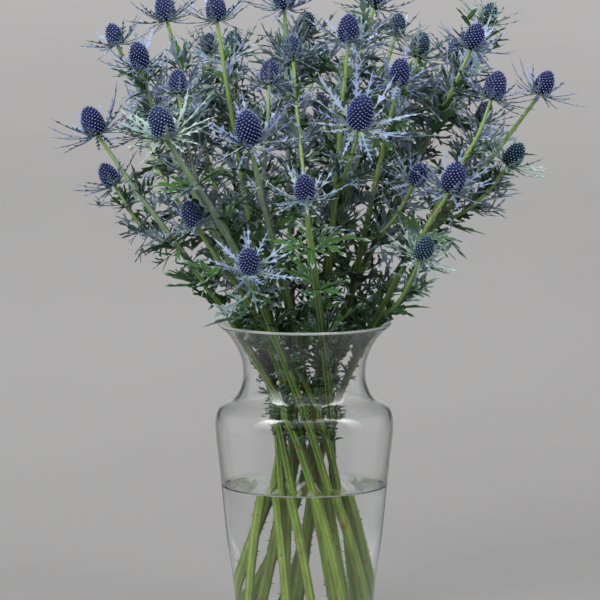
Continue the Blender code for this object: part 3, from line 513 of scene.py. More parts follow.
def bend_clear(stems):
    """Pushes the lines of the stems apart, and off each other's heads and the glass, for a set number of rounds."""
    lines = [line for stem in stems for line in stem["lines"]]
    stem_of = [k for k, stem in enumerate(stems) for _ in stem["lines"]]
    counts = [len(line["points"]) for line in lines]
    starts = np.concatenate([[0], np.cumsum(counts)])
    drawn = np.vstack([line["points"] for line in lines])
    points = drawn.copy()
    radii = np.concatenate([line["radii"] for line in lines])
    owner = np.repeat(stem_of, counts)
    line_of = np.repeat(np.arange(len(lines)), counts)
    loose = np.concatenate([looseness(line) for line in lines])
    heads = np.array([bloom["middle"] for stem in stems for bloom in stem["blooms"]])
    head_radii = np.array([bloom["head"] * HEAD_REACH for stem in stems for bloom in stem["blooms"]])
    start_of = [0 if line["fork"] is None else BRANCH_START for line in lines]
    past_start = np.concatenate([np.arange(count) >= start for count, start in zip(counts, start_of)])
    grown = past_start[:, None] & past_start[None, :]
    other_line = line_of[:, None] != line_of[None, :]
    apart = (owner[:, None] != owner[None, :]) | (other_line & grown)
    needed = radii[:, None] + radii[None, :] + STEM_GAP
    head_needed = radii[:, None] + head_radii[None, :] + STEM_GAP
    carried = line_of[:, None] == np.arange(len(lines))[None, :]
    for turn in range(BEND_ROUNDS):
        tests = ((points, needed, apart), (heads, head_needed, ~carried))
        if turn % NEAR_ROUNDS == 0:
            near = [close_pairs(points, *test) for test in tests]
        push = np.zeros_like(points)
        for (others, need, _), (one, other) in zip(tests, near):
            away = points[one] - others[other]
            far = np.linalg.norm(away, axis=1) + 1e-9
            short = np.maximum(need[one, other] - far, 0)
            np.add.at(push, one, away * (BEND_PUSH * short / far)[:, None])
        points = points + push * loose[:, None]
        room = room_radius(points[:, 2]) - radii - STEM_GAP / 2
        out = np.linalg.norm(points[:, :2], axis=1)
        shrink = np.where((points[:, 2] < RIM_HEIGHT) & (out > room), room / out, 1)
        points[:, :2] *= shrink[:, None]
        bend = points - drawn
        for k, line in enumerate(lines):
            part = bend[starts[k] : starts[k + 1]]
            middle = (part[:-2] + part[2:]) / 2
            part[1:-1] += (middle - part[1:-1]) * BEND_SPREAD * loose[starts[k] + 1 : starts[k + 1] - 1, None]
            if line["fork"] is not None:
                trunk = starts[stem_of.index(stem_of[k])]
                part[0] = bend[trunk + line["fork"]]
        points = drawn + bend
    for k, line in enumerate(lines):
        line["points"] = points[starts[k] : starts[k + 1]]
    for stem in stems:
        straighten(stem["lines"][0], stem["forks"], STEM_TOLERANCE)
        for branch in stem["lines"][1:]:
            straighten(branch, (), STEM_TOLERANCE)


def along_line(line, at):
    """A line's points and half thicknesses at places counted in its points."""
    index = np.arange(len(line["points"]))
    return between(at, index, line["points"]), np.interp(at, index, line["radii"])


class Room:
    """What has been placed so far, as spheres in cells, so that a new piece can find a clear place."""

    CELL = 14 * MM

    def __init__(self):
        self.cells = {}

    def cell(self, point):
        return tuple(int(math.floor(value / self.CELL)) for value in point)

    def add(self, points, radii, owner):
        for point, radius in zip(points, np.broadcast_to(radii, len(points))):
            self.cells.setdefault(self.cell(point), []).append((*point, float(radius), owner))

    def is_clear(self, points, radii, but, gap=BLADE_GAP):
        """Whether spheres at the points touch nothing, nor the glass, but for what the owners in but have."""
        for (x, y, z), radius in zip(points, radii):
            if z < RIM_HEIGHT + LEAF_CLEARS_RIM and math.hypot(x, y) > room_radius(z) - radius - gap:
                return False
            i, j, k = self.cell((x, y, z))
            for cell in [(i + a, j + b, k + c) for a in (-1, 0, 1) for b in (-1, 0, 1) for c in (-1, 0, 1)]:
                for px, py, pz, other_radius, other in self.cells.get(cell, ()):
                    reach = radius + other_radius + gap
                    if other not in but and (px - x) ** 2 + (py - y) ** 2 + (pz - z) ** 2 < reach * reach:
                        return False
        return True


def blade_line(root, out, up, length, rise, curl):
    """A blade's middle line: it leaves the root along out, rising by an angle and curling up or down."""
    line = [root]
    steps = BLADE_POINTS - 1
    for k in range(steps):
        angle = rise + curl * (k + 0.5) / steps
        line.append(line[-1] + (out * math.cos(angle) + up * math.sin(angle)) * length / steps)
    return np.array(line)


def blade_spheres(line, root_radius, half_width):
    """Points along a blade, from a little past its root, and how far the blade reaches round each."""
    points = evenly(line, BLADE_SPHERES)
    share = np.linspace(0, 1, BLADE_SPHERES)
    reach = root_radius + (half_width - root_radius / 2) * np.sin(share * math.pi)
    return points[ROOT_SPHERES:], reach[ROOT_SPHERES:]


def clears_head(line, bloom):
    """Whether a bract stays outside its own head and the florets on it."""
    off = evenly(line, BLADE_SPHERES)[ROOT_SPHERES:] - bloom["base"]
    shares = off @ bloom["axis"] / bloom["head"]
    reach = np.linalg.norm(off - np.outer(off @ bloom["axis"], bloom["axis"]), axis=1)
    return all(
        r > head_radius(share, bloom["head"]) + HEAD_GAP * min(1, share / COLLAR_SHARE)
        for share, r in zip(shares, reach)
        if share > COLLAR_SHARE / 2
    )


def place_bracts(bloom, room, draw):
    """The ruff under a head: bracts all round, each at the first rise and length that is clear."""
    axis = bloom["axis"]
    step = math.tau / HEAD_COLUMNS
    bloom["start"] = draw.uniform(0, step)
    ruff = bloom["name"] + " ruff"
    collar_radius = head_radius(COLLAR_SHARE, bloom["head"])
    for k in range(HEAD_COLUMNS):
        for trial in range(BRACT_TRIES + 1):
            squeezed = trial == BRACT_TRIES
            stray = 0 if squeezed else draw.uniform(-BRACT_STRAY, BRACT_STRAY)
            bearing = bloom["start"] + (k + stray) * step
            rise = math.radians(0 if squeezed else draw.uniform(*BRACT_RISE))
            curl = math.radians(BRACT_CURL[0] if squeezed else draw.uniform(*BRACT_CURL) + trial)
            length = bloom["head"] * BRACT_LENGTH * draw.uniform(*LENGTH_SPREAD) * (1 - BRACT_SHRINK * trial)
            out = turned_about(bearing_start(axis), axis, bearing)
            root = bloom["base"] + out * BRACT_ROOT * collar_radius + axis * COLLAR_SHARE / 2 * bloom["head"]
            line = blade_line(root, out, axis, length, rise, curl)
            spheres = blade_spheres(line, BRACT_CORE, BRACT_HALF_WIDTH * length)
            tip = [part[2 * ROOT_SPHERES :] for part in spheres]
            if (
                clears_head(line, bloom)
                and room.is_clear(*spheres, (bloom["name"], ruff))
                and room.is_clear(*tip, (bloom["name"],))
            ):
                break
        room.add(*spheres, ruff)
        bloom["bracts"].append({"line": line, "length": length})


def leaf_lobes(root, out, up, length, rise, curl):
    """A three-lobed leaf as the middle lines of its lobes, the longest first."""
    side = np.cross(out, up)
    palm = root + (out * math.cos(rise) + up * math.sin(rise)) * LEAF_STALK
    lobes = []
    for angle in LEAF_LOBES:
        spread = math.radians(angle)
        way = out * math.cos(spread) + side * math.sin(spread)
        reach = (length - LEAF_STALK) * (1 if angle == 0 else SIDE_LOBE)
        lobes.append(blade_line(palm, way, up, reach, rise, curl))
    return lobes


def open_bearings(taken, count):
    """count bearings round a stem, each as far as can be from the ones before it."""
    bearings = []
    for _ in range(count):
        options = [math.tau * k / BEARING_STEPS for k in range(BEARING_STEPS)]
        used = taken + bearings
        options.sort(key=lambda bearing: min([1 - math.cos(bearing - other) for other in used] or [0]))
        bearings.append(options[-1])
    return bearings


def place_leaf(stem, at, bearing, stray, length, steeper, room, draw):
    """Tries a leaf on the stem's point at, turned and tilted a little at each try, until one is clear."""
    points = stem["lines"][0]["points"]
    axis = unit(points[at + 1] - points[at - 1])
    for trial in range(LEAF_TRIES):
        out = turned_about(bearing_start(axis), axis, bearing + draw.uniform(-stray, stray))
        rise = math.radians(draw.uniform(*LEAF_RISE) + steeper)
        curl = math.radians(draw.uniform(*LEAF_CURL))
        reach = length * draw.uniform(*LENGTH_SPREAD) * (1 - LEAF_SHRINK * trial)
        lobes = leaf_lobes(points[at], out, axis, reach, rise, curl)
        spheres = [blade_spheres(lobe, LEAF_CORE, LOBE_WIDTH * reach) for lobe in lobes]
        stalk = points[at] + (lobes[0][0] - points[at]) * np.array([[0.6], [0.8], [1.0]])
        free = room.is_clear(stalk, [LEAF_NECK] * 3, (stem["name"],))
        if free and all(room.is_clear(*part, ()) for part in spheres):
            for part in spheres:
                room.add(*part, stem["name"])
            up = square_to(unit(lobes[0][-1] - lobes[0][0]), axis)
            return {"at": at, "lobes": lobes, "up": up, "length": reach}
    return None


def place_leaves(stem, room, draw):
    """Leaves in a whorl at each fork, and in pairs up the stem from the vase's neck to the first fork."""
    points = stem["lines"][0]["points"]
    found = []
    for fork in stem["forks"]:
        axis = unit(points[fork + 1] - points[fork - 1])
        branches = [line["points"] for line in stem["lines"][1:] if line["fork"] == fork]
        taken = [bearing_of(branch[2] - branch[0], axis) for branch in branches]
        for bearing in open_bearings(taken, FORK_LEAVES):
            found.append(place_leaf(stem, fork, bearing, WHORL_STRAY, FORK_LEAF_LENGTH, 0, room, draw))
    low = int(np.searchsorted(points[:, 2], LOWEST_LEAF))
    high = stem["forks"][0] - 1
    levels = max(1, round((points[high][2] - LOWEST_LEAF) / LEAF_PAIR_SPACING))
    for k in range(levels):
        at = round(low + (high - low) * (k + LOWEST_PAIR_AT) / levels)
        start = draw.uniform(0, math.tau)
        steeper = LOWEST_PAIR_RISE if k == 0 else 0
        for bearing in (start, start + math.pi):
            found.append(place_leaf(stem, at, bearing, PAIR_STRAY, STEM_LEAF_LENGTH, steeper, room, draw))
    stem["leaves"] = [leaf for leaf in found if leaf]


def room_of(stems, owner=None):
    """The room that the stems, heads and bracts take up. owner is who has the stems, where not each its own."""
    room = Room()
    for stem in stems:
        for line in stem["lines"]:
            count = len(line["points"])
            room.add(*along_line(line, np.linspace(0, count - 1, 3 * count)), owner or stem["name"])
        for bloom in stem["blooms"]:
            along = np.linspace(0.1, 1, 7)[:, None] * bloom["axis"] * bloom["head"]
            room.add(bloom["base"] + along, bloom["head"] * HEAD_WIDTH / 2, bloom["name"])
            for bract in bloom["bracts"]:
                spheres = blade_spheres(bract["line"], BRACT_CORE / 2, BRACT_HALF_WIDTH * bract["length"] / 2)
                room.add(*spheres, bloom["name"] + " ruff")
    return room


def lay_out_bunch():
    """The whole bunch: stems bent clear of each other, then bracts and leaves where there is room."""
    draw = random.Random(SEED)
    stems = [lay_out_stem(name, bearing) for name, bearing in stem_bearings().items()]
    bend_clear(stems)
    for stem in stems:
        for k, bloom in enumerate(stem["blooms"]):
            bloom.update(name=f"bloom_{stem['name']}_{k + 1}", bracts=[])
    room = room_of(stems)
    for stem in stems:
        for bloom in stem["blooms"]:
            place_bracts(bloom, room, draw)
    for stem in stems:
        place_leaves(stem, room, draw)
    return stems


def head_radius(share, head):
    """A head's radius at a share of its height: a cone with a round shoulder and a blunt top."""
    turn = math.pi * (HEAD_SHOULDER + (1 - HEAD_SHOULDER) * min(1.0, share)) ** HEAD_LEAN
    return head * HEAD_WIDTH / 2 * math.sin(turn) ** HEAD_FULLNESS


# Skins: pieces grown bit by bit

class Skin:
    """The corners, faces and tints of one piece.

    A tint is four numbers from 0 to 1 on a corner: how far along its part it is, how near an edge or tip, the
    part's own chance shade, and how green or blue the part is.
    """

    def __init__(self, name):
        self.name = name
        self.corners = []
        self.tints = []
        self.faces = []
        self.finishes = []
        self.count = 0

    def add(self, corners, faces, tints, finish):
        self.corners.append(np.asarray(corners, float))
        self.tints.append(np.broadcast_to(tints, (len(corners), 4)))
        self.faces.append(np.asarray(faces) + self.count)
        self.finishes.append(np.full(len(faces), finish))
        self.count += len(corners)

    def piece(self, materials, sharp=math.radians(62)):
        """The finished mesh, as an object."""
        corners = np.concatenate(self.corners)
        faces = np.concatenate(self.faces)
        mesh = bpy.data.meshes.new(self.name)
        mesh.vertices.add(len(corners))
        mesh.vertices.foreach_set("co", corners.ravel())
        mesh.loops.add(faces.size)
        mesh.loops.foreach_set("vertex_index", faces.ravel())
        mesh.polygons.add(len(faces))
        mesh.polygons.foreach_set("loop_start", np.arange(0, faces.size, 3))
        for material in materials:
            mesh.materials.append(material)
        mesh.polygons.foreach_set("material_index", np.concatenate(self.finishes))
        tint = mesh.attributes.new("tint", "FLOAT_COLOR", "POINT")
        tint.data.foreach_set("color", np.concatenate(self.tints).ravel())
        mesh.update(calc_edges=True)
        mesh.shade_smooth()
        mesh.set_sharp_from_angle(angle=sharp)
        obj = bpy.data.objects.new(self.name, mesh)
        bpy.context.scene.collection.objects.link(obj)
        return obj


def units(vectors):
    """Each row at length 1."""
    return vectors / np.maximum(np.linalg.norm(vectors, axis=-1, keepdims=True), 1e-9)


def blade_faces(teeth):
    """The faces of a toothed blade's skin, and its corners' order: ribs, valleys and tips, and the end."""
    end = 6 * teeth
    faces = [(0, 2 * teeth, teeth), (0, teeth, 3 * teeth)]
    for i in range(teeth):
        last = i == teeth - 1
        for under in (0, 1):
            for right in (0, 1):
                rib = under * teeth + i
                valley = (2 + right) * teeth + i
                tip = (4 + right) * teeth + i
                three = [(rib, tip, valley), (rib, end if last else rib + 1, tip)]
                if not last:
                    three.append((rib + 1, valley + 1, tip))
                faces += [face[::-1] if under != right else face for face in three]
    return np.array(faces)


BLADE_FACES = {teeth: blade_faces(teeth) for teeth in range(2, 20)}


def toothed_blade(skin, line, up, teeth, shape, draw, tone, hue, finish):
    """A spiny blade along a line, keeled like a lens, with teeth on either side.

    shape holds its solid half width and its teeth's reach as functions of the share of its length, how much of
    its length is toothed, how far the teeth lean ahead, how thick the blade is, how far its edges stand up and
    how wild its teeth are.
    """
    solid, reach, toothed, slant, thick, cup, wild = shape
    if toothed < 1:
        middles = (np.arange(teeth) + 0.75) / (teeth + 0.75)
        half_foot = toothed / 2 / (teeth + 0.75)
        stations = np.sort(np.concatenate([[0, 1], middles - half_foot, middles + half_foot]))
        bearing = np.arange(len(stations) - 1) % 2
    else:
        stations = np.linspace(0, 1, teeth + 1)
        bearing = np.ones(teeth)
    spans = len(stations) - 1
    ribs = at_shares(np.asarray(line), stations)
    way = units(np.gradient(ribs, axis=0))
    side = units(np.cross(way, up))
    over = np.cross(side, way)
    half = solid(stations)
    lows, highs = slice(0, spans), slice(1, spans + 1)
    step = (ribs[highs] - ribs[lows])
    outward = reach((stations[lows] + stations[highs]) / 2) * bearing
    depth = (thick / 2 * np.sqrt(1 - 0.8 * stations[:spans]))[:, None]
    sides, tips = [], []
    for sign in (-1, 1):
        sides.append(ribs[lows] + (side[lows] * sign + over[lows] * cup) * half[lows, None])
        spread = outward * np.array([draw.uniform(0.6, 1.25) for _ in range(spans)])
        ahead = spread * slant * np.array([draw.uniform(0.6, 1.3) for _ in range(spans)])
        lift = spread * np.array([draw.uniform(-wild, wild) + cup / 2 for _ in range(spans)])
        middle_half = (half[lows] + half[highs]) / 2
        tips.append(
            ribs[lows] + step / 2
            + side[lows] * sign * (middle_half + spread)[:, None]
            + over[lows] * (cup * middle_half + lift)[:, None]
            + way[lows] * ahead[:, None]
        )
    corners = np.vstack([ribs[lows] + over[lows] * depth, ribs[lows] - over[lows] * depth, *sides, *tips, ribs[-1:]])
    tints = np.zeros((len(corners), 4))
    tints[:, 0] = np.append(np.tile(stations[:spans], 6), 1)
    tints[2 * spans : 4 * spans, 1] = 0.6
    tints[4 * spans :, 1] = np.append(np.tile(0.6 + 0.4 * bearing, 2), 1)
    tints[:, 2] = tone
    tints[:, 3] = hue
    skin.add(corners, BLADE_FACES[spans], tints, finish)


def ring_faces(count, sides):
    """The faces between count rings of corners, and from the first and last ring to the two corners after them."""
    ring = np.arange(sides)
    following = (ring + 1) % sides
    starts = np.arange(count - 1)[:, None] * sides
    low, after = (starts + ring).ravel(), (starts + following).ravel()
    top = (count - 1) * sides
    return np.vstack([
        np.stack([low, after, after + sides], 1),
        np.stack([low, after + sides, low + sides], 1),
        np.stack([following, ring, np.full(sides, count * sides)], 1),
        np.stack([top + ring, top + following, np.full(sides, count * sides + 1)], 1),
    ])


def tube(skin, points, radii, sides, tint, finish, ribs=0.0, reach=1.0):
    """A round stem along a line, closed at both ends, with its sides' frames.

    tint holds the tone, and the hue at each of the points. reach is how far along the tint says that it ends.
    """
    across = np.array([1.0, 0.3, 0.0])
    frames = []
    for direction in units(np.gradient(points, axis=0)):
        across = square_to(direction, across)
        frames.append((across, np.cross(direction, across)))
    frames = np.array(frames)
    turns = np.arange(sides) * math.tau / sides
    wave = 1 + ribs * np.cos(turns * RIBS)
    rings = (
        points[:, None, :]
        + frames[:, 0, None, :] * (np.cos(turns) * wave)[None, :, None] * radii[:, None, None]
        + frames[:, 1, None, :] * (np.sin(turns) * wave)[None, :, None] * radii[:, None, None]
    )
    count = len(points)
    corners = np.vstack([rings.reshape(-1, 3), points[:1], points[-1:]])
    tone, hue = tint
    tints = np.zeros((len(corners), 4))
    tints[: count * sides, 0] = np.repeat(np.linspace(0, reach, count), sides)
    tints[-1, 0] = reach
    tints[: count * sides, 1] = np.tile(STRIPE_EDGE * (np.arange(sides) % 2), count)
    tints[:, 2] = tone
    hues = np.broadcast_to(hue, count)
    tints[:, 3] = np.concatenate([np.repeat(hues, sides), [hues[0], hues[-1]]])
    skin.add(corners, ring_faces(count, sides), tints, finish)
    return frames


def spikes(skin, feet, tips, thickness, tint_foot, tint_tip, finish):
    """Thin three-sided spikes from feet to tips."""
    way = units(tips - feet)
    across = units(np.cross(way, np.array([0.31, 0.22, 0.93])))
    beside = np.cross(way, across)
    radius = np.broadcast_to(thickness, len(feet))[:, None] / 2
    rings = [feet + (across * math.cos(t) + beside * math.sin(t)) * radius for t in (0, math.tau / 3, -math.tau / 3)]
    corners = np.stack([*rings, tips], axis=1).reshape(-1, 3)
    base = np.arange(len(feet))[:, None, None] * 4
    faces = (base + np.array([(0, 1, 3), (1, 2, 3), (2, 0, 3), (2, 1, 0)])).reshape(-1, 3)
    tints = np.tile(np.array([tint_foot] * 3 + [tint_tip]), (len(feet), 1))
    skin.add(corners, faces, tints, finish)


# Blooms

def bud_template():
    """One bud about the Z axis at size 1, as corners, faces and how far along each corner is."""
    corners, along = [], []
    for height, radius in BUD_RINGS:
        for k in range(BUD_SIDES):
            turn = math.tau * k / BUD_SIDES
            corners.append((radius * math.cos(turn), radius * math.sin(turn), height))
            along.append(height / BUD_TIP)
    corners.append((0, 0, BUD_TIP))
    along.append(1.0)
    faces = []
    for ring in range(len(BUD_RINGS) - 1):
        for k in range(BUD_SIDES):
            a, b = ring * BUD_SIDES + k, ring * BUD_SIDES + (k + 1) % BUD_SIDES
            faces += [(a, b, b + BUD_SIDES), (a, b + BUD_SIDES, a + BUD_SIDES)]
    top = (len(BUD_RINGS) - 1) * BUD_SIDES
    faces += [(top + k, top + (k + 1) % BUD_SIDES, top + BUD_SIDES) for k in range(BUD_SIDES)]
    faces += [(0, k + 1, k) for k in range(1, BUD_SIDES - 1)]
    return np.array(corners), np.array(faces), np.array(along)


def dome_radius(share, head):
    """The core's radius at a share of its height: widest low down, with a round top."""
    off = (share - WIDEST_SHARE) / (WIDEST_SHARE * 1.35 if share < WIDEST_SHARE else 1 - WIDEST_SHARE)
    return head * HEAD_WIDTH / 2 * CORE_WIDTH * max(0.0, 1 - abs(off) ** 2) ** 0.56


def head_places(head, count):
    """count places in a spiral over a head, evenly by area, as shares, radii and slopes, and its area."""
    shares = np.linspace(0.03, 1, 400)
    radii = np.array([dome_radius(share, head) for share in shares])
    slope = np.gradient(radii, shares * head * CORE_HEIGHT)
    strips = (radii[1:] + radii[:-1]) / 2 * np.hypot(np.diff(radii), np.diff(shares) * head * CORE_HEIGHT)
    area = np.concatenate([[0], np.cumsum(strips)])
    at = np.interp((np.arange(count) + 0.5) / count * area[-1], area, shares)
    return at, np.interp(at, shares, radii), np.interp(at, shares, slope), area[-1] * math.tau


def dress_bloom(bloom, room, materials):
    """A bloom's skin: a core, buds in spirals with spines between them, and the ruff of toothed bracts."""
    name, head, axis, base = bloom["name"], bloom["head"], bloom["axis"], bloom["base"]
    short_name = name.removeprefix("bloom_")
    draw = random.Random(name)
    green = GREENER.get(short_name, draw.uniform(0, 0.14))
    dark = draw.uniform(0.15, 0.85)
    skin = Skin(name + "_dressed")
    first = bearing_start(axis)
    second = np.cross(axis, first)
    radii = np.array([dome_radius(share, head) for share in CORE_SHARES])
    radii[0] = BASE_RADIUS
    core = base + np.outer(CORE_SHARES * head * CORE_HEIGHT, axis)
    # The core takes the buds' near-black foot colour: painted shade under the buds
    tube(skin, core, radii, 14, (dark, green), 0, reach=0.2)
    count = round(FLORETS * (head / USUAL_HEAD) ** 1.1)
    at, radius, slope, area = head_places(head, count)
    turns = np.arange(count) * GOLDEN_ANGLE + bloom["start"]
    centres = base + np.outer(at * head * CORE_HEIGHT, axis)
    out = np.outer(np.cos(turns), first) + np.outer(np.sin(turns), second)
    feet = centres + out * radius[:, None]
    normal = units(out - np.outer(slope, axis))
    lean = units(normal + 0.35 * axis)
    size = BUD_SIZE * math.sqrt(area / count) * (1 - 0.2 * at**3)
    size *= np.array([draw.uniform(0.9, 1.1) for _ in range(count)])
    template, faces, along = bud_template()
    across = units(np.cross(lean, axis + np.array([0.01, 0.02, 0])))
    beside = np.cross(lean, across)
    corners = feet[:, None, :] + size[:, None, None] * (
        template[None, :, 0, None] * across[:, None, :]
        + template[None, :, 1, None] * beside[:, None, :]
        + template[None, :, 2, None] * lean[:, None, :]
    )
    tints = np.zeros((count, len(template), 4))
    tints[:, :, 0] = along
    tints[:, :, 1] = at[:, None]
    tints[:, :, 2] = np.array([draw.random() for _ in range(count)])[:, None]
    tints[:, :, 3] = green
    all_faces = (np.arange(count)[:, None, None] * len(template) + faces).reshape(-1, 3)
    skin.add(corners.reshape(-1, 3), all_faces, tints.reshape(-1, 4), 0)
    for k in range(SPINES_PER_FLORET):
        swing = turns + (k - 0.5) * 1.5 * size / np.maximum(radius, size)
        beside_bud = np.outer(np.cos(swing), first) + np.outer(np.sin(swing), second)
        roots = centres + beside_bud * radius[:, None]
        reach = size * np.array([draw.uniform(1.9, 2.9) for _ in range(count)])
        tips = roots + units(normal + axis * 0.5 + 0.25 * beside_bud) * reach[:, None]
        spikes(skin, roots, tips, SPINE_THICKNESS, (0.3, 0.5, dark, green), (0.76, 1, dark, green), 0)
    silver = SILVER_BRACTS.get(short_name, 0.0)
    hue = min(1.0, 0.1 + 0.75 * green + 0.7 * silver + draw.uniform(0, 0.3))
    for bract in bloom["bracts"] + minor_bracts(bloom, room, draw):
        bract_hue = min(1, hue + draw.uniform(-0.1, 0.2))
        dress_bract(skin, bract["line"], axis, bract["length"], draw, bract_hue, 1 + 0.8 * silver)
    return skin.piece(materials)


def dress_bract(skin, line, axis, length, draw, hue, breadth):
    """A narrow bract with forward spines on either side and a long bare point."""
    half = draw.uniform(0.018, 0.028) * length * breadth
    needle = draw.uniform(0.055, 0.1) * length

    def solid(share):
        return half * (0.75 + 0.7 * share) * (1 - share) ** 0.8 + 0.12 * MM

    def reach(share):
        return needle * np.sin(math.pi * np.clip(share * 1.1, 0, 1) ** 0.75) + 0.3 * MM

    shape = (solid, reach, 0.5, 1.2, 0.8 * MM, 0.35, 0.5)
    toothed_blade(skin, line - axis * 0.6 * MM, axis, draw.choice(BRACT_TEETH), shape, draw, draw.random(), hue, 1)


def minor_bracts(bloom, room, draw):
    """More bracts than the solid ruff has, above and under it, where there is room for them."""
    axis = bloom["axis"]
    collar_radius = head_radius(COLLAR_SHARE, bloom["head"])
    found = []
    for count, rises, curls, lengths in SMALL_BRACTS:
        for k in range(count):
            for trial in range(SMALL_TRIES):
                bearing = bloom["start"] + (k + 0.5 + draw.uniform(-0.35, 0.35)) * math.tau / count
                rise = math.radians(draw.uniform(*rises))
                curl = math.radians(draw.uniform(*curls))
                length = bloom["head"] * draw.uniform(*lengths) * (1 - 0.05 * trial)
                out = turned_about(bearing_start(axis), axis, bearing)
                root = bloom["base"] + out * 0.6 * collar_radius + axis * COLLAR_SHARE / 4 * bloom["head"]
                line = blade_line(root, out, axis, length, rise, curl)
                points, reach = blade_spheres(line, 0.4 * MM, 0.05 * length)
                if room.is_clear(points[3:], reach[3:], (bloom["name"],), SMALL_GAP):
                    room.add(points, reach / 2, bloom["name"] + " ruff")
                    found.append({"line": line, "length": length})
                    break
    return found


# Leafy stems

def inside_glass(line):
    """Whether a line keeps clear of the glass that it is in or over."""
    inside = GLASS_INSIDE[::-1]
    far = np.hypot(line[:, 0], line[:, 1])
    free = np.interp(line[:, 2], inside[:, 1], inside[:, 0], right=1.0) - LEAF_TO_GLASS
    return bool((far < free).all())


def place_small_leaf(line, at, bearing, length, room, draw, rise, curl, passing=()):
    """Tries a small leaf on any line's point at, and gives it, or None where there is no room."""
    points = line["points"]
    axis = unit(points[at + 1] - points[at - 1])

    def fits(lobe, core, half_width):
        spheres = [part[ROOT_SPHERES:] for part in blade_spheres(lobe, core, half_width)]
        return inside_glass(lobe) and room.is_clear(*spheres, passing, SMALL_GAP)

    for trial in range(SMALL_TRIES):
        out = turned_about(bearing_start(axis), axis, bearing + draw.uniform(-0.5, 0.5))
        climb = math.radians(draw.uniform(*rise))
        bend = math.radians(draw.uniform(*curl))
        reach = length * draw.uniform(0.8, 1.15) * (1 - 0.04 * trial)
        rib = blade_line(points[at], out, axis, reach, climb, bend)
        if not fits(rib, 0.5 * MM, 0.04 * reach):
            continue
        way = unit(rib[-1] - rib[0])
        up = square_to(way, axis)
        side = np.cross(way, up)
        lobes = [rib]
        for k, share in enumerate(SIDE_LOBES):
            foot = at_shares(rib, np.array([share + draw.uniform(-0.06, 0.06)]))[0]
            turn = math.radians(draw.uniform(28, 68)) * (-1) ** k
            lobe_way = unit(way * math.cos(turn) + side * math.sin(turn) + up * draw.uniform(-0.45, 0.6))
            size = reach * draw.uniform(0.36, 0.6) * (1.2 - share)
            lobe = blade_line(foot, lobe_way, up, size, 0.0, draw.uniform(-0.7, 1.1))
            if fits(lobe, 0.4 * MM, 0.06 * size):
                lobes.append(lobe)
        return {"root": points[at], "lobes": lobes, "up": up, "length": reach}
    return None


def hides_stem(leaf):
    """Whether a leaf grows over the stems from the front, or is one of the low ones in front that would hide them."""
    way = unit(leaf["lobes"][0][-1] - leaf["root"])
    in_front = leaf["root"][1] < FRONT_HALF and LOW_FRONT[0] < leaf["root"][2] < LOW_FRONT[1]
    return way[1] < (0.1 if in_front else -0.3)


def dress_leaf(skin, leaf, root, draw, hue, fine=False, breadth=1.0):
    """A leaf of toothed lobes: three lobes and two small ones on a stalk, or a rib with side lobes."""
    rib, *others = leaf["lobes"]
    up = leaf["up"]
    length = leaf["length"]
    tone = draw.random()
    stalked = "at" in leaf
    middle = rib
    if stalked:
        middle = np.vstack([root + (rib[0] - root) * np.linspace(0.1, 0.9, 3)[:, None], rib])
    lobes = [(middle, 1.0, 3 if fine else 4)]
    lobes += [(line, 0.85 if stalked else 0.7, 3 if stalked else 2) for line in others]
    if stalked:
        palm_way = unit(rib[0] - root)
        side = unit(np.cross(palm_way, up))
        for sign in (1, -1):
            way = unit(palm_way * 0.35 + side * sign + up * draw.uniform(-0.1, 0.35))
            foot = rib[0] - palm_way * 1.5 * MM
            lobes.append((blade_line(foot, way, up, length * draw.uniform(0.22, 0.34), 0.2, 0.3), 0.7, 2))
    for line, size, teeth in lobes:
        half = (FINE_HALF if fine else BROAD_HALF) * length * size * draw.uniform(0.7, 1.3) * breadth
        spine = (FINE_SPINE if fine else BROAD_SPINE) * length * size
        necked = line is middle

        def solid(share, half=half, necked=necked):
            body = np.sin(math.pi * np.clip(0.14 + 0.86 * share, 0, 1) ** 0.85)
            if necked:
                body = body * (0.3 + 0.7 * np.clip((share - 0.1) / 0.25, 0, 1))
            return half * body + 0.15 * MM

        def reach(share, spine=spine, necked=necked):
            out = np.sin(math.pi * np.clip(share * 0.95 + 0.05, 0, 1) ** 0.9)
            if necked:
                out = out * np.clip((share - 0.12) / 0.2, 0.1, 1)
            return spine * out

        shape = (solid, reach, 1, 1.2, 0.8 * MM, draw.uniform(0.1, 0.9), 0.6)
        toothed_blade(skin, line, up, teeth, shape, draw, tone, hue, 1)


def leaf_hue(height, fine, draw):
    """How silvery blue a leaf at that height is: fine ones are, and broad ones are a little near the blooms."""
    share = float(np.clip((height - 0.27) / 0.2, 0, 1))
    if fine:
        return draw.uniform(0.2 + 0.5 * share, 0.65 + 0.35 * share)
    return max(0.0, draw.uniform(-0.3, 0.12 + 0.3 * share))


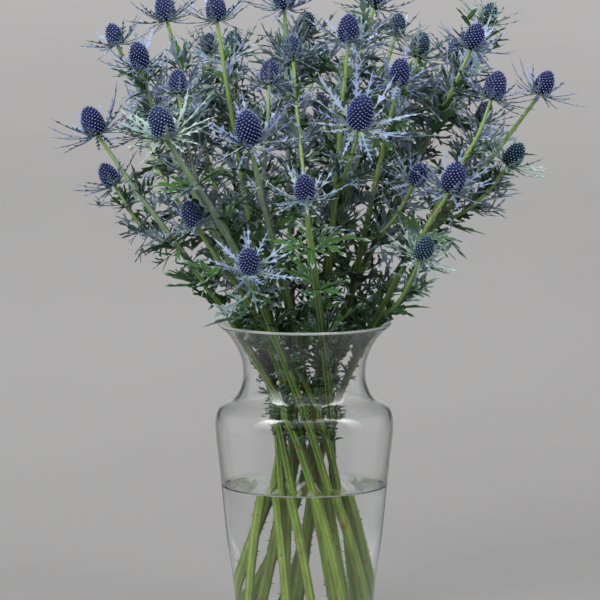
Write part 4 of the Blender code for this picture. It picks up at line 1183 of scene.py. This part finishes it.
def dress_stem(stem, room, materials):
    """A stem's skin: smooth round lines with prickles and scars, and all its leaves."""
    name = stem["name"]
    draw = random.Random("leafy " + name)
    skin = Skin("stem_" + name + "_dressed")
    tone = draw.random()
    main = stem["lines"][0]
    leaves = [(leaf, main["points"][leaf["at"]]) for leaf in stem["leaves"]]
    for line in stem["lines"]:
        knots = line["points"][line["picked"]]
        count = max(12, round(run_along(knots)[-1] / TUBE_STEP))
        points = smooth_curve(knots, count)
        at = np.linspace(0, len(line["points"]) - 1, count)
        radii = np.interp(at, np.arange(len(line["points"])), line["radii"])
        if line is main:
            radii = radii * np.interp(points[:, 2], (0.15, 0.26), (0.8, 1.0))
            for place in {*stem["forks"], *(leaf["at"] for leaf in stem["leaves"])}:
                far = np.linalg.norm(points - main["points"][place], axis=1)
                radii = radii * (1 + NODE_SWELLING * np.exp(-((far / NODE_REACH) ** 2)))
            frames = tube(skin, points, radii, STEM_ROUND, (tone, stalk_hue(points)), 0, ribs=RIB_DEPTH)
            prickles(skin, points, radii, frames, draw, tone)
        else:
            tube(skin, points, radii, BRANCH_ROUND, (tone, stalk_hue(points)), 0)
    for leaf, root in leaves:
        dress_leaf(skin, leaf, root, draw, leaf_hue(root[2], False, draw))
    for leaf in small_leaves(stem, room, draw):
        hue = leaf_hue(leaf["root"][2], leaf["fine"], draw)
        breadth = NECK_BREADTH if leaf["root"][2] < NECK_LEAVES[1] else 1.0
        dress_leaf(skin, leaf, leaf["root"], draw, hue, leaf["fine"], breadth)
    return skin.piece(materials)


def stalk_hue(points):
    """How much each point of a line belongs to the pale stalk just under its bloom."""
    return np.exp(-np.linalg.norm(points - points[-1], axis=1) / PALE_STALK)


def small_leaves(stem, room, draw):
    """More leaves than the solids carry: low on the stem, round its forks and half way up its branches."""
    main, *branches = stem["lines"]
    points = main["points"]
    found = []

    def whorl(line, at, kind, length=None, passing=()):
        count, rise, curl, fine_share, usual = WHORLS[kind]
        start = draw.uniform(0, math.tau)
        for k in range(count):
            bearing = start + math.tau * k / count
            size = (length or usual) * draw.uniform(0.6, 1.15)
            leaf = place_small_leaf(line, at, bearing, size, room, draw, rise, curl, passing)
            if leaf and not (hides_stem(leaf) and draw.random() < HIDING_SHARE):
                leaf["fine"] = draw.random() < fine_share
                found.append(leaf)

    def place_at(height):
        return int(np.searchsorted(points[:, 2], height))

    height = NECK_LEAVES[0]
    while height < NECK_LEAVES[1]:
        length = float(np.interp(height, NECK_HEIGHTS, NECK_LENGTHS_MM)) * draw.uniform(0.8, 1.2) * MM
        whorl(main, place_at(height), "neck", length, ("stems",))
        height += draw.uniform(0.007, 0.013)
    height = LOW_LEAVES + draw.uniform(0, 0.01)
    while height < points[-1, 2] - BARE_STALK:
        if height < HIGH_LEAVES:
            whorl(main, place_at(height), "drooping" if draw.random() < 0.3 else "low")
            height += draw.uniform(0.015, 0.025)
        else:
            whorl(main, place_at(height), "high")
            height += draw.uniform(0.014, 0.024)
    for branch in branches:
        last = len(branch["points"]) - 1
        for share in BRANCH_WHORLS:
            at = min(last - 1, max(1, round((share + draw.uniform(-0.03, 0.03)) * last)))
            whorl(branch, at, "branch")
    return found


def prickles(skin, points, radii, frames, draw, tone):
    """Short prickles and flat scars up the lower part of a stem."""
    usable = int(np.searchsorted(points[:, 2], PRICKLE_TOP))
    for count, thickness, reach, foot_edge in PRICKLES:
        feet, tips, thick = [], [], []
        for _ in range(count):
            i = draw.randrange(2, usable)
            turn = draw.uniform(0, math.tau)
            out = frames[i, 0] * math.cos(turn) + frames[i, 1] * math.sin(turn)
            way = unit(points[i + 1] - points[i - 1])
            foot = points[i] + out * radii[i] * 0.86 + way * draw.uniform(-1.8, 1.8) * MM
            feet.append(foot)
            tips.append(foot + out * reach * draw.uniform(0.75, 1.3) + way * draw.uniform(0, 0.7) * MM)
            thick.append(thickness * draw.uniform(0.7, 1.3))
        spikes(skin, np.array(feet), np.array(tips), np.array(thick), (0, foot_edge, tone, 0), (0, 1, tone, 0), 0)


# Glass and water

def lathe(name, profile, material, marks=None):
    """A solid turned about the Z axis from radius and height points that start and end on the axis.

    marks holds the tint of each point between the ends.
    """
    skin = Skin(name)
    inner = profile[1:-1]
    turns = np.arange(GLASS_SIDES) * math.tau / GLASS_SIDES
    rings = np.stack([
        inner[:, 0, None] * np.cos(turns),
        inner[:, 0, None] * np.sin(turns),
        np.repeat(inner[:, 1, None], GLASS_SIDES, axis=1),
    ], axis=-1)
    ends = np.array([(0, 0, profile[0, 1]), (0, 0, profile[-1, 1])])
    tints = np.zeros((rings.size // 3 + 2, 4))
    if marks is not None:
        tints[:-2, 0] = np.repeat(marks, GLASS_SIDES)
    skin.add(np.vstack([rings.reshape(-1, 3), ends]), ring_faces(len(inner), GLASS_SIDES), tints, 0)
    return skin.piece([material], math.radians(50))


def glass_profiles():
    """The outside of the glass from its foot to its lip, and its inside from the lip to the floor."""
    knots = np.array([(radius, 0, height) for radius, height in np.array(GLASS_OUTLINE_MM) * MM])
    outside = smooth_curve(knots, GLASS_POINTS)[:, [0, 2]]
    return outside, wall_inside(outside)


GLASS_OUTSIDE, GLASS_INSIDE = glass_profiles()


def make_glass(material):
    """The vase, with a rounded lip and a thick floor with a round inner corner."""
    outside, inside = GLASS_OUTSIDE, GLASS_INSIDE
    lip_way = unit(outside[-1] - outside[-2])
    middle = (outside[-1] + inside[0]) / 2
    half = (outside[-1] - inside[0]) / 2
    lip = [middle + half * math.cos(t) + lip_way * np.linalg.norm(half) * math.sin(t) for t in LIP_TURNS]
    across, up = inside[-1]
    floor = [
        (across - FLOOR_CORNER * (1 - math.cos(t)), VASE_FLOOR + (up - VASE_FLOOR) * (1 - math.sin(t)))
        for t in np.linspace(0, math.pi / 2, 7)[1:]
    ]
    profile = np.vstack([[(0, 0.0)], outside, lip, inside, floor, [(0, VASE_FLOOR)]])
    # The lip's corners are marked for the painted highlight along the glass's lip
    marks = np.zeros(len(profile) - 2)
    marks[len(outside) : len(outside) + len(lip)] = 1
    return lathe("vase_glass", profile, material, marks)


def make_body_of_water(material):
    """The water, drawn a little into the glass so that no air lies between them, with a raised edge."""
    wet = GLASS_INSIDE[::-1]
    edge = float(np.interp(WATER_LEVEL, wet[:, 1], wet[:, 0]))
    wet = wet[wet[:, 1] < WATER_LEVEL - 1 * MM]
    bottom = VASE_FLOOR - WATER_OVERLAP
    profile = np.vstack([
        [(0, bottom), (wet[0, 0] - FLOOR_CORNER, bottom)],
        wet + [WATER_OVERLAP, 0],
        [(edge + WATER_OVERLAP, WATER_LEVEL + 2.0 * MM)],
        [(edge - off * MM, WATER_LEVEL + rise * MM) for off, rise in MENISCUS],
        [(edge * 0.6, WATER_LEVEL), (0, WATER_LEVEL)],
    ])
    return lathe("water_body", profile, material)


# Materials

class Flow:
    """A value, colour or vector in a material's nodes, whose sums and products add the nodes for them."""

    def __init__(self, paint, socket):
        self.paint = paint
        self.socket = socket

    def math(self, operation, *others):
        return self.paint.node("ShaderNodeMath", {"operation": operation}, dict(enumerate((self, *others))))

    def __add__(self, other):
        return self.math("ADD", other)

    def __sub__(self, other):
        return self.math("SUBTRACT", other)

    def __rsub__(self, other):
        return self.paint.node("ShaderNodeMath", {"operation": "SUBTRACT"}, {0: other, 1: self})

    def __mul__(self, other):
        return self.math("MULTIPLY", other)

    def __truediv__(self, other):
        return self.math("DIVIDE", other)

    __radd__ = __add__
    __rmul__ = __mul__

    def rise(self, low, high):
        """0 below low, 1 above high, and a smooth rise between."""
        sockets = {"Value": self, "From Min": low, "From Max": high}
        return self.paint.node("ShaderNodeMapRange", {"interpolation_type": "SMOOTHSTEP"}, sockets)


class Paint:
    """The nodes of a new material or world."""

    def __init__(self, owner):
        owner.use_nodes = True
        self.owner = owner
        self.tree = owner.node_tree
        self.tree.nodes.clear()

    def node(self, kind, settings=None, sockets=None, out=0):
        """Any node: its settings first, then the values or links of its sockets. Gives one output."""
        made = self.tree.nodes.new(kind)
        for key, value in (settings or {}).items():
            setattr(made, key, value)
        for key, value in (sockets or {}).items():
            if isinstance(value, Flow):
                self.tree.links.new(value.socket, made.inputs[key])
            else:
                made.inputs[key].default_value = value
        return Flow(self, made.outputs[out]) if made.outputs else None

    def parts(self, value, kind="ShaderNodeSeparateXYZ"):
        """The three numbers of a vector or colour."""
        split = self.node(kind, None, {0: value}).socket.node
        return [Flow(self, output) for output in list(split.outputs)[:3]]

    def mix(self, share, one, other, how="MIX"):
        """Two colours mixed."""
        one, other = ((*colour, 1) if isinstance(colour, tuple) else colour for colour in (one, other))
        return self.node("ShaderNodeMix", {"data_type": "RGBA", "blend_type": how}, {0: share, 6: one, 7: other}, 2)

    def choose(self, share, one, other):
        """Two numbers mixed."""
        return self.node("ShaderNodeMix", {"data_type": "FLOAT"}, {0: share, 2: one, 3: other})

    def tint(self):
        """The four tints of a corner: along, edge, tone and hue."""
        colour = self.node("ShaderNodeAttribute", {"attribute_name": "tint"})
        hue = Flow(self, colour.socket.node.outputs["Alpha"])
        return (*self.parts(colour, "ShaderNodeSeparateColor"), hue)

    def place(self):
        """Where on its own piece, or on the floor, a point is."""
        return self.node("ShaderNodeTexCoord", out="Object")

    def path(self, kind):
        """What a path of light has been through."""
        return self.node("ShaderNodeLightPath", out=kind)

    def mirrored(self):
        """1 for light that has been mirrored on its way, and 0 for light seen directly or straight through glass."""
        return self.path("Is Glossy Ray") * self.path("Glossy Depth").math("GREATER_THAN", 0.5)

    def noise(self, scale, detail, stretch=(1, 1, 1)):
        """Soft noise through the piece's own space, in features per metre."""
        place = self.node("ShaderNodeMapping", None, {"Vector": self.place(), "Scale": stretch})
        return self.node("ShaderNodeTexNoise", None, {"Vector": place, "Scale": scale, "Detail": detail})

    def ramp(self, value, places, shades):
        """A colour picked along a row of colours."""
        colour = self.node("ShaderNodeValToRGB", None, {"Fac": value})
        elements = colour.socket.node.color_ramp.elements
        while len(elements) < len(shades):
            elements.new(0.5)
        for element, place, shade in zip(elements, places, shades):
            element.position = place
            element.color = (*shade, 1)
        return colour

    def surface(self, colour, roughness, **others):
        """A shaded surface. others are more of its sockets, with _ for each space."""
        sockets = {"Base Color": colour, "Roughness": roughness}
        sockets.update((key.replace("_", " "), value) for key, value in others.items())
        return self.node("ShaderNodeBsdfPrincipled", None, sockets)

    def bumps(self, height, strength, depth):
        return self.node("ShaderNodeBump", None, {"Strength": strength, "Distance": depth, "Height": height})

    def finish(self, surface, volume=None, kind="ShaderNodeOutputMaterial"):
        self.node(kind, None, {"Surface": surface, **({"Volume": volume} if volume else {})})
        return self.owner


def new_paint(name):
    return Paint(bpy.data.materials.new(name))


def floret_finish():
    """Buds: near black between them, which is painted shade in the gaps over their own deep indigo, then indigo sides
    and pale tips; teal on the greener heads.
    """
    paint = new_paint("floret_skin")
    along, _, tone, hue = paint.tint()
    blue, teal = (paint.ramp(along, FLORET_PLACES, shades) for shades in (FLORET_BLUES, FLORET_TEALS))
    colour = paint.mix(hue, blue, teal)
    colour = paint.mix(tone * 0.2, colour, (0.05, 0.05, 0.16))
    colour = paint.mix(tone.rise(0.6, 0.95) * along.rise(0.7, 0.95) * 0.6, colour, (0.42, 0.5, 0.3))
    return paint.finish(paint.surface(colour, 0.55, Specular_IOR_Level=0.2))


def bract_finish():
    """Bracts: violet-blue to silver green, with a pale rib and root."""
    paint = new_paint("bract_skin")
    along, edge, tone, hue = paint.tint()
    blue = paint.mix(tone, (0.04, 0.053, 0.17), (0.145, 0.175, 0.38))
    silver = paint.mix(tone, (0.13, 0.22, 0.21), (0.35, 0.43, 0.37))
    colour = paint.mix(hue, blue, silver)
    colour = paint.mix((1 - along.rise(0.0, 0.3)) * 0.6, colour, (0.26, 0.38, 0.18))
    colour = paint.mix((1 - edge.rise(0.0, 0.16)) * 0.5, colour, (0.28, 0.34, 0.43))
    grain = paint.noise(500, 4)
    colour = paint.mix(grain * 0.5, colour, (0.3, 0.33, 0.42), "MULTIPLY")
    bumps = paint.bumps(grain, 0.25, 0.0005)
    return paint.finish(paint.surface(colour, 0.55, Specular_IOR_Level=0.35, Normal=bumps))


def leaf_finish():
    """Leaves: deep green to silvery blue-green, with pale ribs, edges and spines."""
    paint = new_paint("leaf_skin")
    _, edge, tone, hue = paint.tint()
    green = paint.mix(tone, (0.007, 0.03, 0.005), (0.033, 0.085, 0.02))
    silver = paint.mix(tone, (0.085, 0.115, 0.165), (0.31, 0.365, 0.58))
    colour = paint.mix(hue, green, silver)
    colour = paint.mix((1 - edge.rise(0.0, 0.1)) * 0.4, colour, (0.19, 0.28, 0.16))
    colour = paint.mix(edge.rise(0.55, 0.9) * 0.7, colour, (0.28, 0.34, 0.33))
    grain = paint.noise(700, 4)
    colour = paint.mix(grain * 0.4, colour, (0.35, 0.4, 0.35), "MULTIPLY")
    bumps = paint.bumps(grain, 0.4, 0.0006)
    return paint.finish(paint.surface(colour, 0.4 + grain * 0.2, Specular_IOR_Level=0.22, Normal=bumps))


def stem_finish():
    """Stems: fresh green, some turning violet-grey higher up, pale under the blooms, with red-brown scars, and pale
    stripes that are partly their ribs and partly painted highlight.
    """
    paint = new_paint("stem_skin")
    _, edge, tone, hue = paint.tint()
    height = paint.parts(paint.place())[2]
    soaked = paint.mix(tone, (0.066, 0.105, 0.011), (0.12, 0.175, 0.026))
    low = paint.mix(tone, (0.006, 0.026, 0.001), (0.026, 0.07, 0.002))
    high = paint.mix(tone.rise(0.35, 0.75), (0.14, 0.21, 0.07), (0.12, 0.145, 0.17))
    colour = paint.mix(height.rise(0.26, 0.4), paint.mix(height.rise(0.09, 0.15), soaked, low), high)
    # Pale stripes on every other side: the stem's ribs, lightened as painted highlight streaks
    colour = paint.mix(edge.rise(0.08, 0.24) * (1 - edge.rise(0.26, 0.4)) * 0.45, colour, (0.21, 0.27, 0.1))
    streak = paint.noise(260, 4, (1, 1, 0.12))
    colour = paint.mix(streak.rise(0.4, 0.7) * 0.5, colour, (0.03, 0.07, 0.01))
    colour = paint.mix(hue * 0.85, colour, (0.16, 0.24, 0.08))
    colour = paint.mix(paint.noise(150, 2).rise(0.64, 0.72) * 0.8, colour, (0.14, 0.05, 0.025))
    colour = paint.mix(edge.rise(0.3, 0.9) * 0.9, colour, (0.2, 0.07, 0.03))
    bumps = paint.bumps(streak, 0.5, 0.0007)
    return paint.finish(paint.surface(colour, 0.3 + streak * 0.16, Specular_IOR_Level=0.4, Normal=bumps))


def clear_finish(name, colour, ior, absorbed=0.0):
    """Glass or water: clear to light that falls through it on what is inside. The glass is pale along its lip: a
    painted highlight for the light that the lip carries round.
    """
    paint = new_paint(name)
    surface = paint.surface((*colour, 1), 0.0, IOR=ior, Transmission_Weight=1.0)
    volume = None
    if absorbed:
        # A pale, less clear skin along the lip is a painted highlight standing in for light carried round the lip
        pale = paint.surface((0.6, 0.65, 0.63, 1), 0.15)
        lip = paint.tint()[0].rise(0.1, 0.9) * 0.38
        surface = paint.node("ShaderNodeMixShader", None, {0: lip, 1: surface, 2: pale})
        volume = paint.node("ShaderNodeVolumeAbsorption", None, {"Color": (0.3, 0.5, 0.4, 1), "Density": absorbed})
    shade = paint.node("ShaderNodeBsdfTransparent", None, {"Color": (*colour, 1)})
    surface = paint.node("ShaderNodeMixShader", None, {0: paint.path("Is Shadow Ray"), 1: surface, 2: shade})
    return paint.finish(surface, volume)


def dark_ways(paint, way):
    """How dark the studio is one way: far aside, beside the backdrop and in front."""
    x, y, _ = paint.parts(way)
    aside = x.math("ABSOLUTE")
    beyond = aside.rise(0.84, 0.93)
    beside = aside.rise(0.1, 0.3) * (1 - aside.rise(0.7, 0.9)) * y.math("GREATER_THAN", 0.0)
    front = (y * -1).rise(0.2, 0.6)
    return beyond * 0.9, beside * 0.85, front * 0.95


def floor_finish():
    """The pale, softly mottled floor, which glows a little so that it stays even a long way back."""
    paint = new_paint("pale_floor")
    place = paint.place()
    back = paint.parts(place)[1]
    way = paint.node("ShaderNodeVectorMath", {"operation": "NORMALIZE"}, {0: place})
    beyond, beside, front = dark_ways(paint, way)
    mirrored = paint.mirrored()
    far = paint.node("ShaderNodeVectorMath", {"operation": "LENGTH"}, {0: place}, "Value").rise(0.18, 0.4)
    seen = (1 - (paint.path("Is Glossy Ray") - mirrored) * beyond) * (1 - mirrored * (beside + front) * far)
    glow = paint.mix(paint.noise(3.0, 3, (1, 0.25, 1)).rise(0.3, 0.7), (0.97, 0.95, 0.95), (1.0, 0.985, 0.98))
    strength = (0.192 + back.rise(-0.5, 5.0) * 0.18 + back.rise(2.0, 9.0) * 0.08) * seen
    sockets = {"Specular_IOR_Level": 0.0, "Emission_Color": glow, "Emission_Strength": strength}
    return paint.finish(paint.surface((0.07, 0.069, 0.069, 1), 0.9, **sockets))


# Studio

def make_floor():
    """A strip of floor that runs far back, narrow enough for the dark studio on either side to edge the glass."""
    mesh = bpy.data.meshes.new("floor")
    across, front, back = FLOOR_HALF_WIDTH, FLOOR_FRONT, FLOOR_BACK
    corners = [(-across, front, 0), (across, front, 0), (across, back, 0), (-across, back, 0)]
    mesh.from_pydata(corners, [], [(0, 1, 2, 3)])
    mesh.materials.append(floor_finish())
    floor = bpy.data.objects.new("floor", mesh)
    bpy.context.scene.collection.objects.link(floor)


def make_lamp(name, place, target, size, power):
    """A soft rectangular lamp that faces a target."""
    light = bpy.data.lights.new(name, "AREA")
    light.shape = "RECTANGLE"
    light.size, light.size_y = size
    light.energy = power
    lamp = bpy.data.objects.new(name, light)
    bpy.context.scene.collection.objects.link(lamp)
    back = unit(np.array(place) - np.array(target))
    side = unit(np.cross((0, 0, 1), back))
    up = np.cross(back, side)
    lamp.matrix_world = Matrix([(side[k], up[k], back[k], place[k]) for k in range(3)] + [(0, 0, 0, 1)])
    lamp.visible_camera = lamp.visible_glossy = lamp.visible_transmission = False


def soft_box(paint, way, height, azimuth, tallness, half_width):
    """How much of a tall, soft-edged box of light is seen one way. Its azimuth is from the front to the right."""
    lines = ((math.sin(azimuth), -math.cos(azimuth), 0), (math.cos(azimuth), math.sin(azimuth), 0))
    ahead, across = (paint.node("ShaderNodeVectorMath", {"operation": "DOT_PRODUCT"}, {0: way, 1: line}, "Value")
                     for line in lines)
    off = (across / ahead).math("ABSOLUTE")
    climb = height / ahead
    shown = (1 - off.rise(0.5 * half_width, half_width)) * climb.rise(0.0, 0.5)
    shown = shown * (1 - climb.rise(0.7 * tallness, tallness)) * (0.25 + climb.rise(0.4, 1.1) * 0.75)
    return shown * ahead.math("GREATER_THAN", 0.0)


def make_sky():
    """Soft light all round, and what the glass shows: a pale studio with two soft boxes, dark beyond the backdrop."""
    world = bpy.data.worlds.new("studio")
    bpy.context.scene.world = world
    paint = Paint(world)
    way = paint.node("ShaderNodeTexCoord", out="Generated")
    z = paint.parts(way)[2]
    soft = 0.08 + z.rise(0.2, 0.95) * 0.32
    beyond, beside, front = dark_ways(paint, way)
    dark = beside + front * (1 - z.rise(0.3, 0.5))
    boxes = z.rise(0.7, 0.95) * 2.5
    for bearing, half_width, strength in SOFT_BOXES:
        boxes = boxes + soft_box(paint, way, z, bearing, SOFT_BOX_TALLNESS, half_width) * strength
    level = paint.choose(paint.path("Is Glossy Ray"), soft, (1 - beyond) * 0.46)
    level = paint.choose(paint.mirrored(), level, boxes + (1 - dark) * 0.5)
    level = paint.choose(paint.path("Is Camera Ray"), level, 0.47)
    level = paint.choose(paint.path("Diffuse Depth").math("GREATER_THAN", 0.5), level, soft)
    back = paint.node("ShaderNodeBackground", None, {"Color": (0.98, 0.985, 1.0, 1), "Strength": level})
    paint.finish(back, kind="ShaderNodeOutputWorld")


def make_camera():
    data = bpy.data.cameras.new("camera")
    data.sensor_width = 36.0
    data.lens = data.sensor_width / 2 / math.tan(CAMERA_HALF_VIEW)
    data.clip_end = 200.0
    camera = bpy.data.objects.new("camera", data)
    x, y, z = CAMERA_TARGET
    camera.location = (
        x,
        y - CAMERA_DISTANCE * math.cos(CAMERA_ELEVATION),
        z + CAMERA_DISTANCE * math.sin(CAMERA_ELEVATION),
    )
    camera.rotation_euler = (math.pi / 2 - CAMERA_ELEVATION, 0, 0)
    bpy.context.scene.collection.objects.link(camera)
    bpy.context.scene.camera = camera


def show(piece, node):
    """Puts a piece in its node's place."""
    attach(piece, "root")
    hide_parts(node)


def main():
    make_camera()
    make_floor()
    make_sky()
    for lamp in LAMPS:
        make_lamp(*lamp)
    bpy.context.scene.view_settings.view_transform = "Standard"
    light_paths = bpy.context.scene.cycles
    light_paths.max_bounces, light_paths.glossy_bounces, light_paths.transmission_bounces = 20, 12, 20

    glass = make_glass(clear_finish("clear_glass_finish", (0.985, 0.995, 0.99), 1.47, 4.0))
    show(glass, "vase")
    water = make_body_of_water(clear_finish("water_finish", (0.99, 0.997, 0.993), 1.33))
    show(water, "water")
    stems = lay_out_bunch()
    room = room_of(stems, "stems")
    bloom_materials = [floret_finish(), bract_finish()]
    stem_materials = [stem_finish(), leaf_finish()]
    for stem in stems:
        for bloom in stem["blooms"]:
            show(dress_bloom(bloom, room, bloom_materials), bloom["name"])
    for stem in stems:
        show(dress_stem(stem, room, stem_materials), "stem_" + stem["name"])


main()
